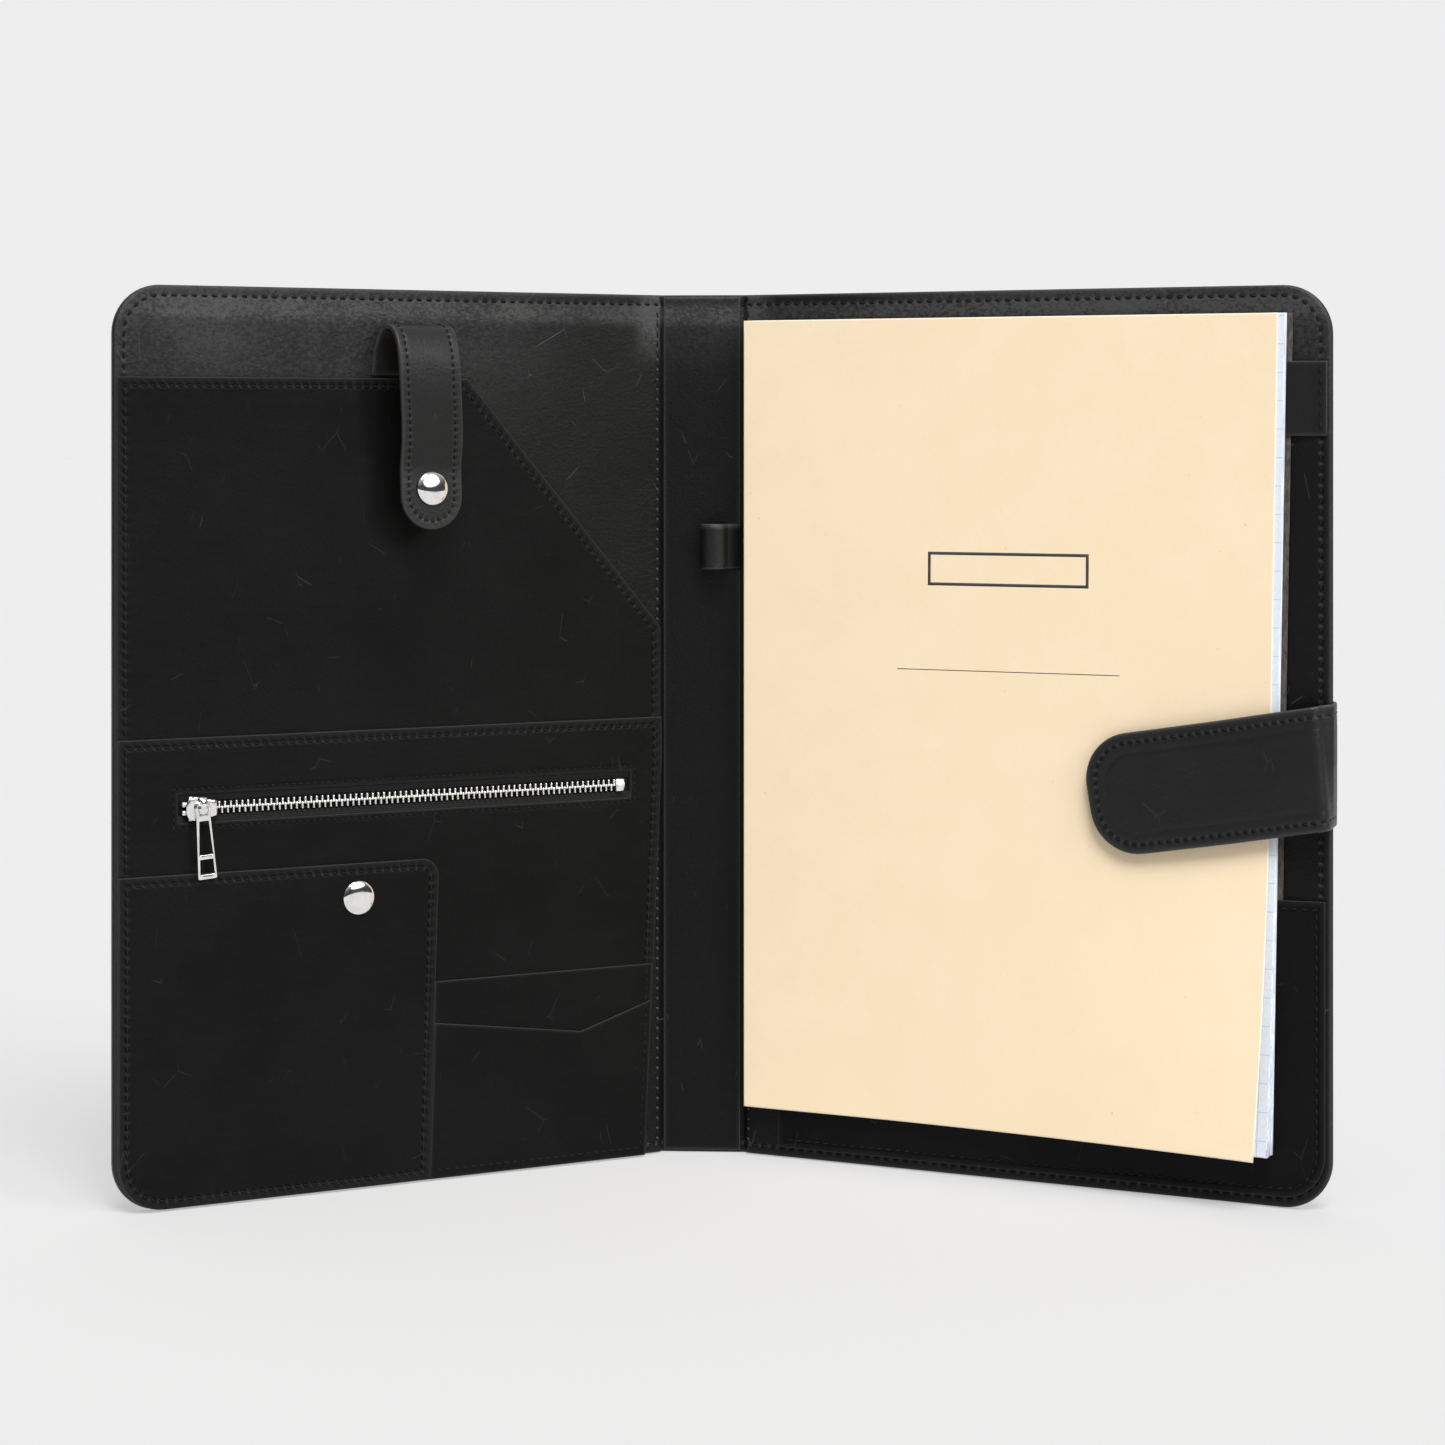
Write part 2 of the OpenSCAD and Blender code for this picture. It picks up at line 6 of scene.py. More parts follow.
import bmesh
import bpy
import numpy as np
from mathutils import Vector, noise
from mathutils.geometry import delaunay_2d_cdt
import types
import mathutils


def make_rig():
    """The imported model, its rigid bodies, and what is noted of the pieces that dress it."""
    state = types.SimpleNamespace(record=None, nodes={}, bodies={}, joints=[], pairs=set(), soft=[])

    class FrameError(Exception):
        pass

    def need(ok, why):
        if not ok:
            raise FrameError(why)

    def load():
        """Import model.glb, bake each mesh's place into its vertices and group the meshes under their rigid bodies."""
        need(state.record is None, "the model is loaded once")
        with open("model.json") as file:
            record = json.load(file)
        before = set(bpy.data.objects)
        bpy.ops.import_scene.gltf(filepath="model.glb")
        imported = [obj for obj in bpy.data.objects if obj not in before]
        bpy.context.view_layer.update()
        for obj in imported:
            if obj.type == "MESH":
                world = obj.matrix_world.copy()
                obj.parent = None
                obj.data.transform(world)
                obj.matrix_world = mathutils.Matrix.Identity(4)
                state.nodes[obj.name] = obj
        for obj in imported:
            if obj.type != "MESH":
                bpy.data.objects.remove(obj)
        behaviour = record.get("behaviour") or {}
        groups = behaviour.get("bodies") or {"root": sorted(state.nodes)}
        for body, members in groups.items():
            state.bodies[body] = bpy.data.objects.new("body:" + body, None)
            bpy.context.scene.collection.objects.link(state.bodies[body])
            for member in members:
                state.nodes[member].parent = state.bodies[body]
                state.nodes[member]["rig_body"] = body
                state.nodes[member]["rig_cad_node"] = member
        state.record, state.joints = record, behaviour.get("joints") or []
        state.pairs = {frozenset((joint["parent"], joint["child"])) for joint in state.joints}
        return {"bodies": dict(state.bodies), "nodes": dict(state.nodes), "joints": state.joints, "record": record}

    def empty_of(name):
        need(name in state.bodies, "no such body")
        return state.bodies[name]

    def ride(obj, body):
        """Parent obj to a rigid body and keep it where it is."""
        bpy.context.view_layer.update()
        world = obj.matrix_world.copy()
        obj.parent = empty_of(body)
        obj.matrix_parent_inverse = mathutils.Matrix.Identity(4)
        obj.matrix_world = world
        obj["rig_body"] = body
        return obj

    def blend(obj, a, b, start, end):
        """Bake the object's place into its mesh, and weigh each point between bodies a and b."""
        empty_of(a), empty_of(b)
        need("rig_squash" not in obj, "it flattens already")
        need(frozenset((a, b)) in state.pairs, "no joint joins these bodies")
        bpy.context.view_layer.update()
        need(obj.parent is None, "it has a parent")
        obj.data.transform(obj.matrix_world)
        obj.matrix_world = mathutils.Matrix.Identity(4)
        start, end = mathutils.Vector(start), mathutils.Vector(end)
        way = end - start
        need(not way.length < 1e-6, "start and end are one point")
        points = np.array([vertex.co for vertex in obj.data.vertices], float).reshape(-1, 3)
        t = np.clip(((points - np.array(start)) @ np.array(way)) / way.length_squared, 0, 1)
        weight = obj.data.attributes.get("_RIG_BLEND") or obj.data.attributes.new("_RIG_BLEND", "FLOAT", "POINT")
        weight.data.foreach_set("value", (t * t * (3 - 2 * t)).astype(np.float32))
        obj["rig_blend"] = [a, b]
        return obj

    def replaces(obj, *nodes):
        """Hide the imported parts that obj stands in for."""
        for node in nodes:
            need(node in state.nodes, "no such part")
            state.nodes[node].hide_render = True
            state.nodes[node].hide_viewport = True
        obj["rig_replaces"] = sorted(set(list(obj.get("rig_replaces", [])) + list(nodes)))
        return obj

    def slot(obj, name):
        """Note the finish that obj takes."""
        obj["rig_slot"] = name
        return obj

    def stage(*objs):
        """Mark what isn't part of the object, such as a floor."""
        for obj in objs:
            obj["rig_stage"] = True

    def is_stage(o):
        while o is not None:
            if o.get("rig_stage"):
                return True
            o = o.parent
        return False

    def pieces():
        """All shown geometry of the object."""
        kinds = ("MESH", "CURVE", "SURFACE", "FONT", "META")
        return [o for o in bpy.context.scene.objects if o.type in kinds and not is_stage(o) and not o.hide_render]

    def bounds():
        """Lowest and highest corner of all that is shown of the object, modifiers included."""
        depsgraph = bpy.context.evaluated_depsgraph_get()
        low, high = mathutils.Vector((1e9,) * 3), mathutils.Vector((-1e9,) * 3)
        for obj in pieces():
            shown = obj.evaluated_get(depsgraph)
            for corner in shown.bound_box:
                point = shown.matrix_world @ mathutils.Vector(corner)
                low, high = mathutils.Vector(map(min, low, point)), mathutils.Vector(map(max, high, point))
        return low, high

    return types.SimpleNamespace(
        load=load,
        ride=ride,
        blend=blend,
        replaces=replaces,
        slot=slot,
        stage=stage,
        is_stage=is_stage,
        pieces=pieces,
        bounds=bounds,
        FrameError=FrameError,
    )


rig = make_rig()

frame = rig.load()
cad_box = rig.bounds()

# ---- Units and the object's own frames ------------------------------------------------
# Shapes are drawn in millimetres and placed in metres. On a cover, u runs outward from the
# hinge line, w runs towards the inside of the portfolio and z runs up.

MM = 0.001
TOUCH = 0.05
joints = {joint["name"]: joint for joint in frame["joints"]}
front_hinge = Vector(joints["front_cover_hinge"]["pos_m"])
back_hinge = Vector(joints["back_cover_hinge"]["pos_m"])
spine_centre = (front_hinge + back_hinge) / 2
front_angle = math.radians(joints["front_cover_hinge"]["range_deg"][1])
back_angle = math.radians(joints["back_cover_hinge"]["range_deg"][1])


class Place:
    """A frame fixed to a flat part of the object, with its axes u, w and z."""

    def __init__(self, origin, u_axis, w_axis):
        self.origin = Vector(origin)
        self.axes = (Vector(u_axis), Vector(w_axis), Vector((0, 0, 1)))

    def __call__(self, u, w, z):
        a, b, c = self.axes
        return self.origin + (a * u + b * w + c * z) * MM

    def points(self, node):
        """The corners of a CAD node, as an array of (u, w, z) in millimetres."""
        world = np.array([v.co - self.origin for v in frame["nodes"][node].data.vertices])
        return world @ np.array(self.axes).T / MM

    def box(self, node):
        points = self.points(node)
        return points.min(0), points.max(0)

    def joint(self, name):
        """The place of a joint as (u, w, z) in millimetres."""
        offset = Vector(joints[name]["pos_m"]) - self.origin
        return [offset.dot(axis) / MM for axis in self.axes]


def cover_place(hinge, angle, side):
    cos, sin = math.cos(angle), math.sin(angle)
    return Place(hinge, (side * cos, -sin, 0), (-side * sin, -cos, 0))


SPINE = cover_place(spine_centre, 0, 1)
FRONT = cover_place(front_hinge, front_angle, -1)
BACK = cover_place(back_hinge, back_angle, 1)

# ---- Sizes taken from the CAD part ----------------------------------------------------

hinge_s = (back_hinge - front_hinge).x / 2 / MM
front_w, inside, cover_h = FRONT.box("front_lining")[1]
back_w = BACK.box("back_lining")[1][0]
lining_points = FRONT.points("front_lining")
corner_r = front_w - lining_points[lining_points[:, 2] > cover_h - TOUCH][:, 0].max()
outside = FRONT.box("front_outer_leather")[0][1]
board_low, board_high = (corner[1] for corner in FRONT.box("front_board"))


def smooth(t):
    t = min(1.0, max(0.0, t))
    return t * t * (3 - 2 * t)


def ramp(value, low, high):
    return smooth((value - low) / (high - low))


# ---- The whole skin, unrolled ---------------------------------------------------------
# s runs along the leather from the middle of the spine, negative to the front cover.

BEND = 3.0
SPLIT = 8.0
SPINE_LINING = 0.55  # share of the lining's thickness that is left along the spine
SPINE_BOARD = 0.02
BOARD_EDGE = (-1.6, 1.0)


def skin(s, w, z):
    """A point of the leather skin, bent at both hinges and thinner along the spine."""
    beyond = abs(s) - hinge_s
    board = SPINE_BOARD + (1 - SPINE_BOARD) * ramp(beyond, *BOARD_EDGE)
    if w > board_high:
        lining = (w - board_high) * (SPINE_LINING + (1 - SPINE_LINING) * board)
        w = board_low + (board_high - board_low) * board + lining
    elif w > board_low:
        w = board_low + (w - board_low) * board
    angle = ramp(beyond, -BEND, BEND) * (front_angle if s < 0 else back_angle)
    out = beyond * math.cos(angle) - w * math.sin(angle)
    near = beyond * math.sin(angle) + w * math.cos(angle)
    return spine_centre + Vector((math.copysign(hinge_s + out, s), -near, z)) * MM


def bend_with(piece, body, slot_name):
    """A piece of the skin rides the spine, or bends with a cover at its hinge."""
    if body == "spine":
        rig.ride(piece, "spine")
    else:
        side, place = (-1, FRONT) if body == "front_cover" else (1, BACK)
        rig.blend(piece, "spine", body, SPINE(side * (hinge_s - BEND), 0, 0), place(BEND, 0, 0))
    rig.slot(piece, slot_name)


# ---- Outlines -------------------------------------------------------------------------
# An outline is a list of (u, z) corners, counter-clockwise.


def arc(cu, cz, r, start, end, steps=12):
    angles = [math.radians(start + (end - start) * i / steps) for i in range(steps + 1)]
    return [(cu + r * math.cos(a), cz + r * math.sin(a)) for a in angles]


def rectangle(u0, z0, u1, z1):
    return [(u0, z0), (u1, z0), (u1, z1), (u0, z1)]


def moved_in(outline, d):
    """The outline moved inward by d, with mitred corners."""
    p = np.array(outline, float)
    edge = np.roll(p, -1, 0) - p
    edge /= np.linalg.norm(edge, axis=1)[:, None]
    n2 = np.stack([-edge[:, 1], edge[:, 0]], 1)
    n1 = np.roll(n2, 1, 0)
    return p + (n1 + n2) * (d / (1 + (n1 * n2).sum(1)))[:, None]


def divided(loop, counts):
    """The loop with each of its edges cut into the number of pieces given."""
    loop = np.asarray(loop, float)
    out = []
    for p, q, n in zip(loop, np.roll(loop, -1, 0), counts):
        out += [p + (q - p) * i / n for i in range(n)]
    return np.array(out)


def edge_counts(outline, step):
    p = np.array(outline, float)
    lengths = np.linalg.norm(np.roll(p, -1, 0) - p, axis=1)
    return [max(1, round(length / step)) for length in lengths]


def inset_line(outline, inset, step=3.0):
    loop = moved_in(outline, inset)
    return divided(loop, edge_counts(loop, step))


def inside_loop(points, loop):
    """Which points lie inside a loop, by counting crossings."""
    u, z = points[:, 0], points[:, 1]
    hit = np.zeros(len(points), bool)
    for (u0, z0), (u1, z1) in zip(loop, np.roll(loop, -1, 0)):
        if z0 != z1:
            crosses = (z0 > z) != (z1 > z)
            hit ^= crosses & (u < (u1 - u0) * (z - z0) / (z1 - z0) + u0)
    return hit


def edge_distance(points, loop):
    best = np.full(len(points), np.inf)
    for a, b in zip(loop, np.roll(loop, -1, 0)):
        d = b - a
        t = np.clip(((points - a) @ d) / max(d @ d, 1e-12), 0, 1)
        best = np.minimum(best, np.linalg.norm(points - a - t[:, None] * d, axis=1))
    return best


def grid_inside(loop, holes, step, columns, rows, margin):
    """Points that fill a loop on a grid, closer together at the columns and rows given."""
    (u0, z0), (u1, z1) = loop.min(0), loop.max(0)
    us = list(np.arange(u0 + step / 2, u1, step)) if step else []
    zs = list(np.arange(z0 + step / 2, z1, step)) if step else []
    if columns:
        us = [u for u in us if min(abs(u - c) for c in columns) > margin] + list(columns)
    if rows:
        zs = [z for z in zs if min(abs(z - r) for r in rows) > margin] + list(rows)
    if not us or not zs:
        return np.zeros((0, 2))
    points = np.array([(u, z) for u in sorted(us) for z in sorted(zs)])
    keep = inside_loop(points, loop) & (edge_distance(points, loop) > margin)
    for hole in holes:
        keep &= ~inside_loop(points, hole) & (edge_distance(points, hole) > margin)
    return points[keep]


# ---- Meshes ---------------------------------------------------------------------------


def new_object(name, bm, material):
    bmesh.ops.recalc_face_normals(bm, faces=bm.faces)
    mesh = bpy.data.meshes.new(name)
    bm.to_mesh(mesh)
    bm.free()
    mesh.shade_smooth()
    piece = bpy.data.objects.new(name, mesh)
    bpy.context.scene.collection.objects.link(piece)
    mesh.materials.append(material)
    return piece


def joined(name, pieces):
    """Several meshes made into one piece."""
    bm = bmesh.new()
    for piece in pieces:
        bm.from_mesh(piece.data)
    material = pieces[0].data.materials[0]
    for piece in pieces:
        bpy.data.objects.remove(piece)
    return new_object(name, bm, material)


class Builder:
    """Collects vertices by their local (u, w, z), which the materials read, and faces."""

    def __init__(self, place):
        self.bm = bmesh.new()
        self.place = place
        self.local = self.bm.verts.layers.float_vector.new("panel")
        self.edge = self.bm.verts.layers.float.new("edge")

    def vertex(self, u, w, z, edge=0.0):
        v = self.bm.verts.new(self.place(u, w, z))
        v[self.local] = Vector((u, w, z)) * MM
        v[self.edge] = edge
        return v

    def loop(self, points, w, edge=0.0, relief=None):
        return [
            self.vertex(u, w + (relief(u, z) if relief else 0), z, edge) for u, z in points
        ]

    def face(self, corners):
        try:
            self.bm.faces.new(corners)
        except ValueError:
            pass  # the same face is there already

    def bridge(self, rings):
        """Joins each ring to the next. A ring may be a single vertex, on a lathe's axis."""
        for a, b in zip(rings, rings[1:]):
            for i in range(max(len(a), len(b))):
                j = (i + 1) % max(len(a), len(b))
                if len(a) == 1:
                    self.face((a[0], b[i], b[j]))
                elif len(b) == 1:
                    self.face((b[0], a[i], a[j]))
                else:
                    self.face((a[i], a[j], b[j], b[i]))

    def tube(self, rings):
        """Rings joined in a row and closed at both ends."""
        self.bridge(rings)
        self.face(rings[0])
        self.face(rings[-1])

    def fill(self, loop2d, ring, holes2d, hole_rings, w, step, columns, rows, relief):
        """Fills a ring, less its holes, with triangles on a grid."""
        margin = min(0.45 * (step or 3), 1.2)
        coords, verts, edges = [], [], []
        for outline, outline_ring in zip([loop2d, *holes2d], [ring, *hole_rings]):
            first = len(coords)
            coords += [Vector(p) for p in outline]
            verts += outline_ring
            edges += [(first + i, first + (i + 1) % len(outline)) for i in range(len(outline))]
        inner = grid_inside(loop2d, holes2d, step, columns, rows, margin)
        coords += [Vector(p) for p in inner]
        verts += self.loop(inner, w, 0.0, relief)
        points, _, faces, sources, _, _ = delaunay_2d_cdt(coords, edges, [], 1, 1e-5)
        centres = np.array([sum((points[i] for i in f), Vector((0, 0))) / len(f) for f in faces])
        drop = np.zeros(len(faces), bool)
        for hole in holes2d:
            drop |= inside_loop(centres, np.array(hole))
        for f, dropped in zip(faces, drop):
            if not dropped and all(sources[i] for i in f):
                self.face([verts[sources[i][0]] for i in f])

    def finish(self, name, material):
        loose = [v for v in self.bm.verts if not v.link_faces]
        bmesh.ops.delete(self.bm, geom=loose, context="VERTS")
        return new_object(name, self.bm, material)


def puckers(line, pitch):
    """How much the leather is drawn down at each point of a sewn line, 1 under a stitch."""
    step = np.linalg.norm(np.roll(line, -1, 0) - line, axis=1)
    at = np.concatenate([[0], np.cumsum(step)[:-1]])
    count = max(1, round(step.sum() / pitch))
    return -np.cos(2 * math.pi * at * count / step.sum())


# The leather bumps between a seam's stitches are painted lighter in the edge colour: a painted highlight.
PUCKER_REACH, PUCKER_HIGHLIGHT_REACH = 1.3, 0.9
PUCKER_PAINTED_HIGHLIGHT = 0.75
FACE_DEPTH = 0.5


def panel(
    name, outline, profile, place, material, step=6.0, edge_step=4.0,
    holes=(), columns=(), rows=(), relief=None, back_step=None, sewn=None,
):
    """A sheet with a shaped edge. profile lists (inset, w, edge wear) from back to front.

    holes lists (outline, profile) pairs, and a hole's inset enlarges it. sewn gives the
    inset, pitch, depth and side of a seam whose stitches pull the leather down; the bumps
    between them are painted lighter, a painted highlight.
    """
    build = Builder(place)

    def rings_of(shape, shape_profile, sign, counts):
        loops = [divided(moved_in(shape, sign * d), counts) for d, _, _ in shape_profile]
        rings = [build.loop(lp, w, e, relief) for lp, (_, w, e) in zip(loops, shape_profile)]
        build.bridge(rings)
        return loops, rings

    counts = edge_counts(outline, sewn[1] / 4 if sewn else edge_step)
    loops, rings = rings_of(outline, profile, 1, counts)
    if sewn:
        inset, pitch, depth, side = sewn
        pulled = puckers(divided(moved_in(outline, inset), counts), pitch)
        for lp, ring, (d, w, _) in zip(loops, rings, profile):
            near = 1 - abs(d - inset) / PUCKER_REACH
            if near <= 0 or (w - profile[-1][1]) * side < -FACE_DEPTH:
                continue
            for (u, z), v, pull in zip(lp, ring, pulled):
                rise = relief(u, z) if relief else 0
                v.co = place(u, w + rise - side * depth * near * pull, z)
                # The bump crests near the seam are painted lighter: a painted highlight.
                if abs(d - inset) < PUCKER_HIGHLIGHT_REACH:
                    v[build.edge] = max(v[build.edge], PUCKER_PAINTED_HIGHLIGHT * near * max(0, -pull) ** 2)
    hole_sets = [
        rings_of(hole, hole_profile, -1, edge_counts(hole, edge_step))
        for hole, hole_profile in holes
    ]
    for end, fill_step in ((0, back_step), (-1, step)):
        build.fill(
            loops[end], rings[end], [h[0][end] for h in hole_sets],
            [h[1][end] for h in hole_sets], profile[end][1], fill_step, columns, rows, relief,
        )
    return build.finish(name, material)


GROOVE = 0.22


def rings_at(level, *rings):
    """Rings of a profile, with their w measured from a level."""
    return [(inset, level + w, wear) for inset, w, wear in rings]


def groove_rings(inset, level, depth=GROOVE, share=7 / 11, flank=0.35, reach=0.75):
    """The rings of a sewn groove: flat at its reach, and a share of its depth at its flanks."""
    steps = ((-reach, 0), (-flank, share), (0, 1), (flank, share), (reach, 0))
    return [(inset + d, level - depth * part, 0) for d, part in steps]


def leather_edge(low, high, groove=None, round_r=0.3, plain=1.6):
    """Profile of a cut and burnished leather edge, with a sewing groove at an inset."""
    r = min(round_r, (high - low) / 2)
    profile = [
        (plain, low, 0), (r, low, 0.3), (0.25 * r, low + 0.3 * r, 0.9), (0, (low + high) / 2, 1),
        (0.25 * r, high - 0.3 * r, 1), (r, high - 0.02, 0.75), (1.6 * r, high, 0.25),
    ]
    if groove:
        return profile + groove_rings(groove, high, share=0.6) + [(groove + 1.4, high, 0)]
    return profile + [(plain, high, 0)]


def lathe(name, place, centre, profile, material, steps=40):
    """A turned piece. profile lists (radius, w), and its ends close on the axis."""
    build = Builder(place)
    cu, cz = centre
    angles = [2 * math.pi * i / steps for i in range(steps)]
    build.bridge([
        [build.vertex(cu, w, cz)] if r < TOUCH
        else [build.vertex(cu + r * math.cos(a), w, cz + r * math.sin(a)) for a in angles]
        for r, w in profile
    ])
    return build.finish(name, material)


def ribbon(name, path, thickness, z0, z1, place, material):
    """A band that follows a path of (u, w) points and stands between two heights."""
    build = Builder(place)
    path = np.array(path, float)
    tangent = np.gradient(path, axis=0)
    tangent /= np.linalg.norm(tangent, axis=1)[:, None]
    normal = np.stack([-tangent[:, 1], tangent[:, 0]], 1)
    h, c = thickness / 2, 0.3
    rows = np.arange(z0 + 1, z1 - 1, 2.0)
    section = [(-h, z, 0) for z in rows]
    section += [(-h, z1 - c, 0.8), (-h + c, z1, 1), (h - c, z1, 1), (h, z1 - c, 0.8)]
    section += [(h, z, 0) for z in rows[::-1]]
    section += [(h, z0 + c, 0.8), (h - c, z0, 1), (-h + c, z0, 1), (-h, z0 + c, 0.8)]
    build.tube([
        [build.vertex(p[0] + n[0] * d, p[1] + n[1] * d, z, e) for d, z, e in section]
        for p, n in zip(path, normal)
    ])
    return build.finish(name, material)


def blocks(name, place, material, boxes):
    """A piece of chamfered blocks, each given as (low corner, high corner, chamfer)."""
    build = Builder(place)
    for (u0, w0, z0), (u1, w1, z1), r in boxes:
        rings = []
        for w, d in ((w0, r), (w0 + r, 0), (w1 - r, 0), (w1, r)):
            corners = [
                (u0 + d, z0 + r), (u0 + r, z0 + d), (u1 - r, z0 + d), (u1 - d, z0 + r),
                (u1 - d, z1 - r), (u1 - r, z1 - d), (u0 + r, z1 - d), (u0 + d, z1 - r),
            ]
            rings.append(build.loop(corners, w, 0.5))
        build.tube(rings)
    return build.finish(name, material)


# ---- Stitches -------------------------------------------------------------------------

THREAD_R = 0.36
STITCH_SIDES = 6
STITCH_SHAPE = (
    (-1, 0.5, -0.45), (-0.6, 0.95, -0.02), (0, 1, 0.06), (0.6, 0.95, -0.02), (1, 0.5, -0.45)
)


def walk(line, pitch, closed, phase):
    """Evenly spaced (point, direction) pairs along a line."""
    line = np.array(line, float)
    if closed:
        line = np.vstack([line, line[:1]])
    step = np.diff(line, axis=0)
    length = np.linalg.norm(step, axis=1)
    total = length.sum()
    count = max(1, round(total / pitch))
    starts = np.concatenate([[0], np.cumsum(length)])
    out = []
    for k in range(count):
        at = (k + phase) * total / count
        i = min(int(np.searchsorted(starts, at, "right")) - 1, len(step) - 1)
        out.append((line[i] + step[i] * (at - starts[i]) / length[i], step[i] / length[i]))
    return out


def stitches(name, line, place, level, pitch, keep=None, relief=None, closed=True,
             slant=9.0, length=0.72, phase=0.5, wear=0.0, size=1.0, material=None):
    """A row of stitches along a line of (u, z) points. level may be a function.

    With a phase of 0 it makes the leather bumps between the stitches, and a raised edge
    value paints them lighter: a painted highlight.
    """
    build = Builder(place)
    cos, sin = math.cos(math.radians(slant)), math.sin(math.radians(slant))
    for (u, z), (du, dz) in walk(line, pitch, closed, phase):
        if keep and not keep(u, z):
            continue
        tu, tz = du * cos - dz * sin, du * sin + dz * cos
        base = (level(u, z) if callable(level) else level) + (relief(u, z) if relief else 0)
        rings = []
        for along, share, rise in STITCH_SHAPE:
            x = along * pitch * length / 2
            ring = []
            for k in range(STITCH_SIDES):
                a = 2 * math.pi * k / STITCH_SIDES
                across, up = (THREAD_R * size * share * f(a) for f in (math.cos, math.sin))
                ring.append(build.vertex(
                    u + tu * x - tz * across, base + rise + up, z + tz * x + tu * across, wear
                ))
            rings.append(ring)
        build.tube(rings)
    return build.finish(name, material or THREAD)


# ---- Materials ------------------------------------------------------------------------


class Nodes:
    """Short calls for building the nodes of a material or a world."""

    def __init__(self, owner):
        owner.use_nodes = True
        self.owner = owner
        self.tree = owner.node_tree

    def wire(self, socket, value):
        if hasattr(value, "is_output"):
            self.tree.links.new(value, socket)
        else:
            socket.default_value = value

    def node(self, kind, inputs=None, output=0, **settings):
        """Adds a node and gives back one of its outputs."""
        made = self.tree.nodes.new("ShaderNode" + kind)
        for key, value in settings.items():
            setattr(made, key, value)
        for key, value in (inputs or {}).items():
            self.wire(made.inputs[key], value)
        return made.outputs[output] if len(made.outputs) else None

    def attribute(self, name, output="Vector"):
        return self.node("Attribute", None, output, attribute_name=name)

    def object_place(self):
        return self.node("TexCoord", None, "Object")

    def axis(self, vector, name):
        return self.node("SeparateXYZ", {"Vector": vector}, name)

    def noise(self, vector, scale, detail=2.0, roughness=0.5):
        inputs = {"Vector": vector, "Scale": scale, "Detail": detail, "Roughness": roughness}
        return self.node("TexNoise", inputs, "Fac")

    def stretch(self, vector, scale, rotation=0.0):
        inputs = {"Vector": vector, "Scale": scale, "Rotation": (0, rotation, 0)}
        return self.node("Mapping", inputs)

    def stretched_noise(self, vector, scale, rotation=0.0, detail=2.0, roughness=0.5):
        return self.noise(self.stretch(vector, scale, rotation), 1.0, detail, roughness)

    def remap(self, value, low, high, to_low=0.0, to_high=1.0):
        inputs = {
            "Value": value, "From Min": low, "From Max": high, "To Min": to_low, "To Max": to_high
        }
        return self.node("MapRange", inputs, "Result", interpolation_type="SMOOTHSTEP")

    def math(self, operation, a, b=0.0):
        return self.node("Math", {0: a, 1: b}, operation=operation)

    def times(self, *values):
        return functools.reduce(functools.partial(self.math, "MULTIPLY"), values)

    def plus(self, *values):
        return functools.reduce(functools.partial(self.math, "ADD"), values)

    def mix(self, factor, a, b):
        return self.node("Mix", {0: factor, 6: a, 7: b}, 2, data_type="RGBA")

    def bump(self, height, distance, strength=1.0, normal=None):
        inputs = {"Height": height, "Distance": distance, "Strength": strength}
        if normal is not None:
            inputs["Normal"] = normal
        return self.node("Bump", inputs)

    def finish(self, colour, roughness, specular=0.5, normal=None, **others):
        """Sets the shader's sockets, the others by their names with _ for a space."""
        values = {"Base Color": colour, "Roughness": roughness, "Specular IOR Level": specular}
        if normal is not None:
            values["Normal"] = normal
        values.update((key.replace("_", " "), value) for key, value in others.items())
        for key, value in values.items():
            self.wire(self.tree.nodes["Principled BSDF"].inputs[key], value)
        return self.owner


def material_nodes(name):
    return Nodes(bpy.data.materials.new(name))


def grey(value, warm=0.0):
    return (value * (1 + warm), value, value * (1 - warm), 1)


def painted_sheen_places(n, place):
    """Where a painted sheen lightens the lining, in metres: its top, the spine strip's top, a band below the top edge,
    and beside the spine's seams.
    """
    height = n.axis(place, "Z")
    across = n.math("ABSOLUTE", n.axis(place, "X"))
    top = n.times(
        n.remap(height, 0.262, 0.322, 0.0, 0.62), n.remap(across, 0.045, 0.12, 0.12, 1.0)
    )
    strip = n.times(n.remap(across, 0.0165, 0.0145), n.remap(height, 0.292, 0.32), 0.3)
    by_seam = n.times(
        n.remap(across, 0.031, 0.0215), n.remap(across, 0.0165, 0.0185),
        n.remap(height, 0.296, 0.314),
    )
    edge_band = n.times(n.remap(height, 0.3125, 0.3175), n.remap(height, 0.324, 0.3205), 0.7)
    return n.plus(top, strip, edge_band, by_seam)


SCRATCH_GREY = 0.065


